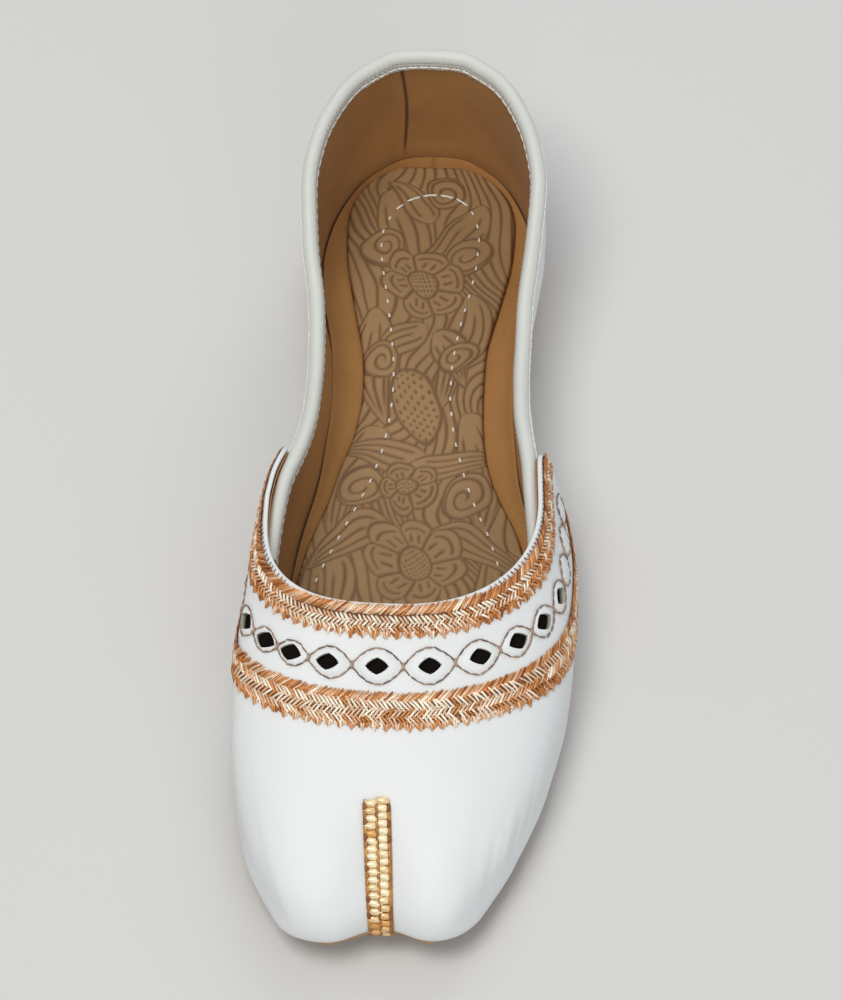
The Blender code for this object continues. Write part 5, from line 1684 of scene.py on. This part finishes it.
def pressed_lines():
    """Depth share of the grooves at every point of the pad."""
    depth = streams()
    for shape, *numbers in MOTIFS:
        inside, lines = shape(*numbers)
        depth = np.where(inside > 0, lines, depth)
        depth = np.maximum(depth, press(inside))
    return depth


# %% [markdown]
# ## Pressing the pad
# The pad is a fine grid between its two edges, a little pillowed and rolled down at the
# rim. The grooves sink it, and the same number darkens them.

# %% Outline of the pad
pad_along = np.linspace(PAD["along"][0], PAD["along"][-1], 400)
pad_sides = [
    smooth_through(PAD["along"], PAD[side], pad_along) * BALL_WIDTH
    for side in ("medial", "lateral")
]
pad_y = along_to_y(pad_along)
pad_path = np.concatenate(
    [np.stack([-pad_sides[0], pad_y], 1)[::-1], np.stack([pad_sides[1], pad_y], 1)]
)
pad_path = even_path(np.concatenate([pad_path, pad_path[:1]]), closed=True)
front, rear = pad_path[:, 1].min(), pad_path[:, 1].max()
PAD_LINES, PAD_ACROSS = 561, 161
stations = front + (rear - front) * (1 - np.cos(np.linspace(0, math.pi, PAD_LINES))) / 2
stations = 0.2 * stations + 0.8 * np.linspace(front, rear, PAD_LINES)
rolled = np.roll(pad_path[:-1], -int(np.argmin(pad_path[:, 1])), axis=0)
far = int(np.argmax(rolled[:, 1]))
halves = (rolled[: far + 1], rolled[far:][::-1])
edges = [np.interp(stations, part[:, 1], part[:, 0]) for part in halves]
left, right = np.minimum(*edges), np.maximum(*edges)
across = np.linspace(0, 1, PAD_ACROSS)[None, :]
px = left[:, None] + (right - left)[:, None] * across
py = np.repeat(stations[:, None], PAD_ACROSS, axis=1)
print("pad mm:", np.round(1000 * np.ptp(px), 1), "by", np.round(1000 * (rear - front), 1))

# %% The pad, pressed
# Worked by hand, no line is true: the drawing wanders a little over the pad.
X = px * 1000 + 1.3 * np.sin(py * 165 + 0.6) + 0.6 * np.sin(px * 420 + py * 190)
Y = py * 1000 + 1.2 * np.sin(px * 210 + 1.1) + 0.6 * np.sin(py * 390 - px * 160)
groove = pressed_lines()
GROOVE_DEPTH, RIM_ROLL = 0.00030, 0.0012
side_gap = np.minimum(px - left[:, None], right[:, None] - px)
rim_gap = np.minimum(side_gap, np.minimum(py - front, rear - py))
rim = np.clip(rim_gap / RIM_ROLL, 0, 1)
lift = PAD_THICKNESS * (0.35 + 0.65 * np.sqrt(np.clip(1 - (1 - rim) ** 2, 0, 1)))
height = sole_top(py) + 2 * CLEARANCE + BOARD_THICKNESS
pillow = 0.00015 * np.sin(px * 420 + 1) * np.sin(py * 330)
print("deepest groove mm:", np.round(1000 * GROOVE_DEPTH * groove.max(), 2))

# %% Mesh of the pad
# The underside is made of narrow strips, one between each two stations, so that it stays
# flat where the outline turns.
surface = np.stack([px, py, height + lift - GROOVE_DEPTH * groove + pillow * rim], -1)
index = np.arange(px.size).reshape(px.shape)
corners = (index[:-1, :-1], index[:-1, 1:], index[1:, 1:], index[1:, :-1])
quads = np.stack(corners, -1).reshape(-1, 4)
ends = np.array([0, PAD_ACROSS - 1])
foot = np.stack([px, py, height - CLEARANCE * 0.8], -1)
low = px.size + np.arange(2 * PAD_LINES).reshape(PAD_LINES, 2)
under = np.stack([low[:-1, 1], low[:-1, 0], low[1:, 0], low[1:, 1]], -1)
one_side = np.stack([index[1:, 0], low[1:, 0], low[:-1, 0], index[:-1, 0]], -1)
other_side = np.stack([index[:-1, -1], low[:-1, 1], low[1:, 1], index[1:, -1]], -1)
tips = [[*low[0], *index[0, ::-1].tolist()], [*low[-1, ::-1], *index[-1].tolist()]]
pad = make_piece(
    "pressed_pad", np.concatenate([surface.reshape(-1, 3), foot[:, ends].reshape(-1, 3)]),
    np.concatenate([quads, under, one_side, other_side]).tolist() + tips, [PADSKIN],
)
# The grooves are darker, and the colour also darkens towards the rolled rim: painted shade where
# the rim rolls down to the board.
shade_of = np.clip(groove * 0.8 + 0.5 * (1 - rim) ** 2, 0, 1).ravel()
point_value(pad, "groove", np.concatenate([shade_of, np.ones(2 * PAD_LINES)]))
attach(pad, "root")
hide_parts("sock_pad")
print("pad grid:", px.shape, "motifs:", len(MOTIFS))

# %% [markdown]
# ## Stitches that hold the pad
# A line of white cotton holds the pad: short dots along the sides, where only each second
# pass of the needle shows, and longer stitches round the heel. The line is a few listed
# places made into an even path.

# %% White stitches that hold the pad
PAD_SEAM = (
    # x, y in mm: up the medial side, round the heel and down the lateral side
    (-25.5, -26.0), (-24.4, -18.0), (-22.5, -12.0), (-19.0, -3.4), (-15.2, 5.3), (-11.5, 13.6),
    (-8.9, 22.0), (-7.4, 30.5), (-6.7, 39.5), (-6.9, 48.8), (-8.0, 57.5), (-9.2, 65.4),
    (-10.6, 73.6), (-12.2, 82.0), (-12.9, 90.5), (-10.0, 98.6), (-5.0, 102.8), (0.3, 104.2),
    (5.5, 103.6), (9.6, 101.4), (12.4, 97.0), (13.8, 91.0), (13.5, 80.5), (12.1, 71.7),
    (10.6, 64.2), (9.3, 56.2), (8.5, 48.3), (8.6, 38.5), (10.2, 28.0), (13.6, 16.2),
    (17.0, 7.2), (20.9, -1.0), (23.9, -10.0), (25.6, -20.0), (26.2, -28.0),
)
seam = even_path(np.array(PAD_SEAM) / 1000)
seam_height = sole_top(seam[:, 1]) + 2 * CLEARANCE + BOARD_THICKNESS + PAD_THICKNESS
seam = np.column_stack([seam, seam_height])
run = path_shares(seam) * np.linalg.norm(np.diff(seam, axis=0), axis=1).sum()
SEAM_PITCH = 0.0046
here = np.arange(0.002, run[-1], SEAM_PITCH)
at = read_at(here, run, seam)
way = unit(read_at(here + 0.0004, run, seam) - at)
round_heel = ease(at[:, 1], 0.0985, 0.1015)
DOT_LENGTH, HEEL_LENGTH, SEAM_WIDTH = 0.0008, 0.0023, 0.0006
long = DOT_LENGTH + (HEEL_LENGTH - DOT_LENGTH) * round_heel
size = np.stack([long, np.full(len(at), SEAM_WIDTH), np.full(len(at), SEAM_WIDTH)], 1)
up = np.tile([0.0, 0.0, 1.0], (len(at), 1))
tone = shades(0.8, 0.1, len(at))
sew("pad_stitches", at + up * 0.00005, way, up, size, tone, WHITE_THREAD, "binding_strip", bow=0.5)

# %% [markdown]
# ## The sole
# A thin cast sole with a low lift shows only at its edge, so the solids keep their shape
# and get the resin finish.

# %% Finish on the solids that stay
for node in ("outsole", "heel_lift"):
    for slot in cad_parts[node].material_slots:
        slot.material = SOLE

# %% [markdown]
# ## Camera, floor and light
# The camera stands where the photograph's did: high and in front of the toe, a long lens.
# It is aimed at the shoe. Large soft lights leave broad, gentle shading.

# %% Camera
AZIMUTH, ELEVATION, ROLL = math.radians(-1.19), math.radians(58.46), math.radians(0.67)
AWAY, FOCUS_POINT = 1.1674, Vector((0.06138, 0.02872, 0.0))
level = math.cos(ELEVATION)
# A long lens in millimetres, and how much closer the frame comes to the shoe
LONG_LENS, CLOSER = 129.6, 1.22
look = Vector((math.sin(AZIMUTH) * level, math.cos(AZIMUTH) * level, -math.sin(ELEVATION)))
right = look.cross(Vector((0, 0, 1))).normalized()
up_way = right.cross(look) * math.cos(ROLL) - right * math.sin(ROLL)
eye = FOCUS_POINT - look * AWAY - Vector(MIDDLE)
aim = (Vector((0.001, 0.004, 0.016)) - eye).normalized()
side_way = aim.cross(up_way).normalized()
turned_up = side_way.cross(aim)
camera_data = bpy.data.cameras.new("studio_camera")
camera_data.sensor_fit = "AUTO"
camera_data.sensor_width = 36.0
camera_data.lens = LONG_LENS * CLOSER
camera_data.clip_end = 20.0
camera = bpy.data.objects.new("studio_camera", camera_data)
camera.matrix_world = Matrix.Translation(eye) @ Matrix(
    (side_way, turned_up, -aim)
).transposed().to_4x4()
bpy.context.collection.objects.link(camera)
bpy.context.scene.camera = camera

# %% Floor and lights
floor_mesh = bpy.data.meshes.new("studio_floor")
floor_mesh.from_pydata([(-3, -3, 0), (3, -3, 0), (3, 3, 0), (-3, 3, 0)], [], [(0, 1, 2, 3)])
floor_finish = new_finish("pale_studio_paper", 0.9, "D9D9D8", Specular_IOR_Level=0.1)[0]
floor_mesh.materials.append(floor_finish)
floor = bpy.data.objects.new("studio_floor", floor_mesh)
bpy.context.collection.objects.link(floor)


def soft_light(name, place, target, size, power, colour="FFFFFF"):
    data = bpy.data.lights.new(name, "AREA")
    data.shape, data.size, data.energy = "SQUARE", size, power
    data.color = linear(colour)[:3]
    light = bpy.data.objects.new(name, data)
    way = Vector(target) - Vector(place)
    turn = way.to_track_quat("-Z", "Y").to_matrix().to_4x4()
    light.matrix_world = Matrix.Translation(place) @ turn
    bpy.context.collection.objects.link(light)
    return light


soft_light("key_light", (-0.25, -0.25, 1.35), (0, 0, 0.02), 0.6, 8.5, "FFFBF5")
soft_light("front_light", (0.5, -1.1, 0.75), (0, 0, 0.02), 0.9, 3.0)
soft_light("back_light", (0.3, 1.1, 1.0), (0, 0, 0.02), 0.8, 3.6, "F7FAFF")
world = bpy.data.worlds.new("studio_room")
world.use_nodes = True
world.node_tree.nodes["Background"].inputs["Color"].default_value = linear("F2F4F6")
world.node_tree.nodes["Background"].inputs["Strength"].default_value = 0.46
bpy.context.scene.world = world
bpy.context.scene.view_settings.view_transform = "Standard"
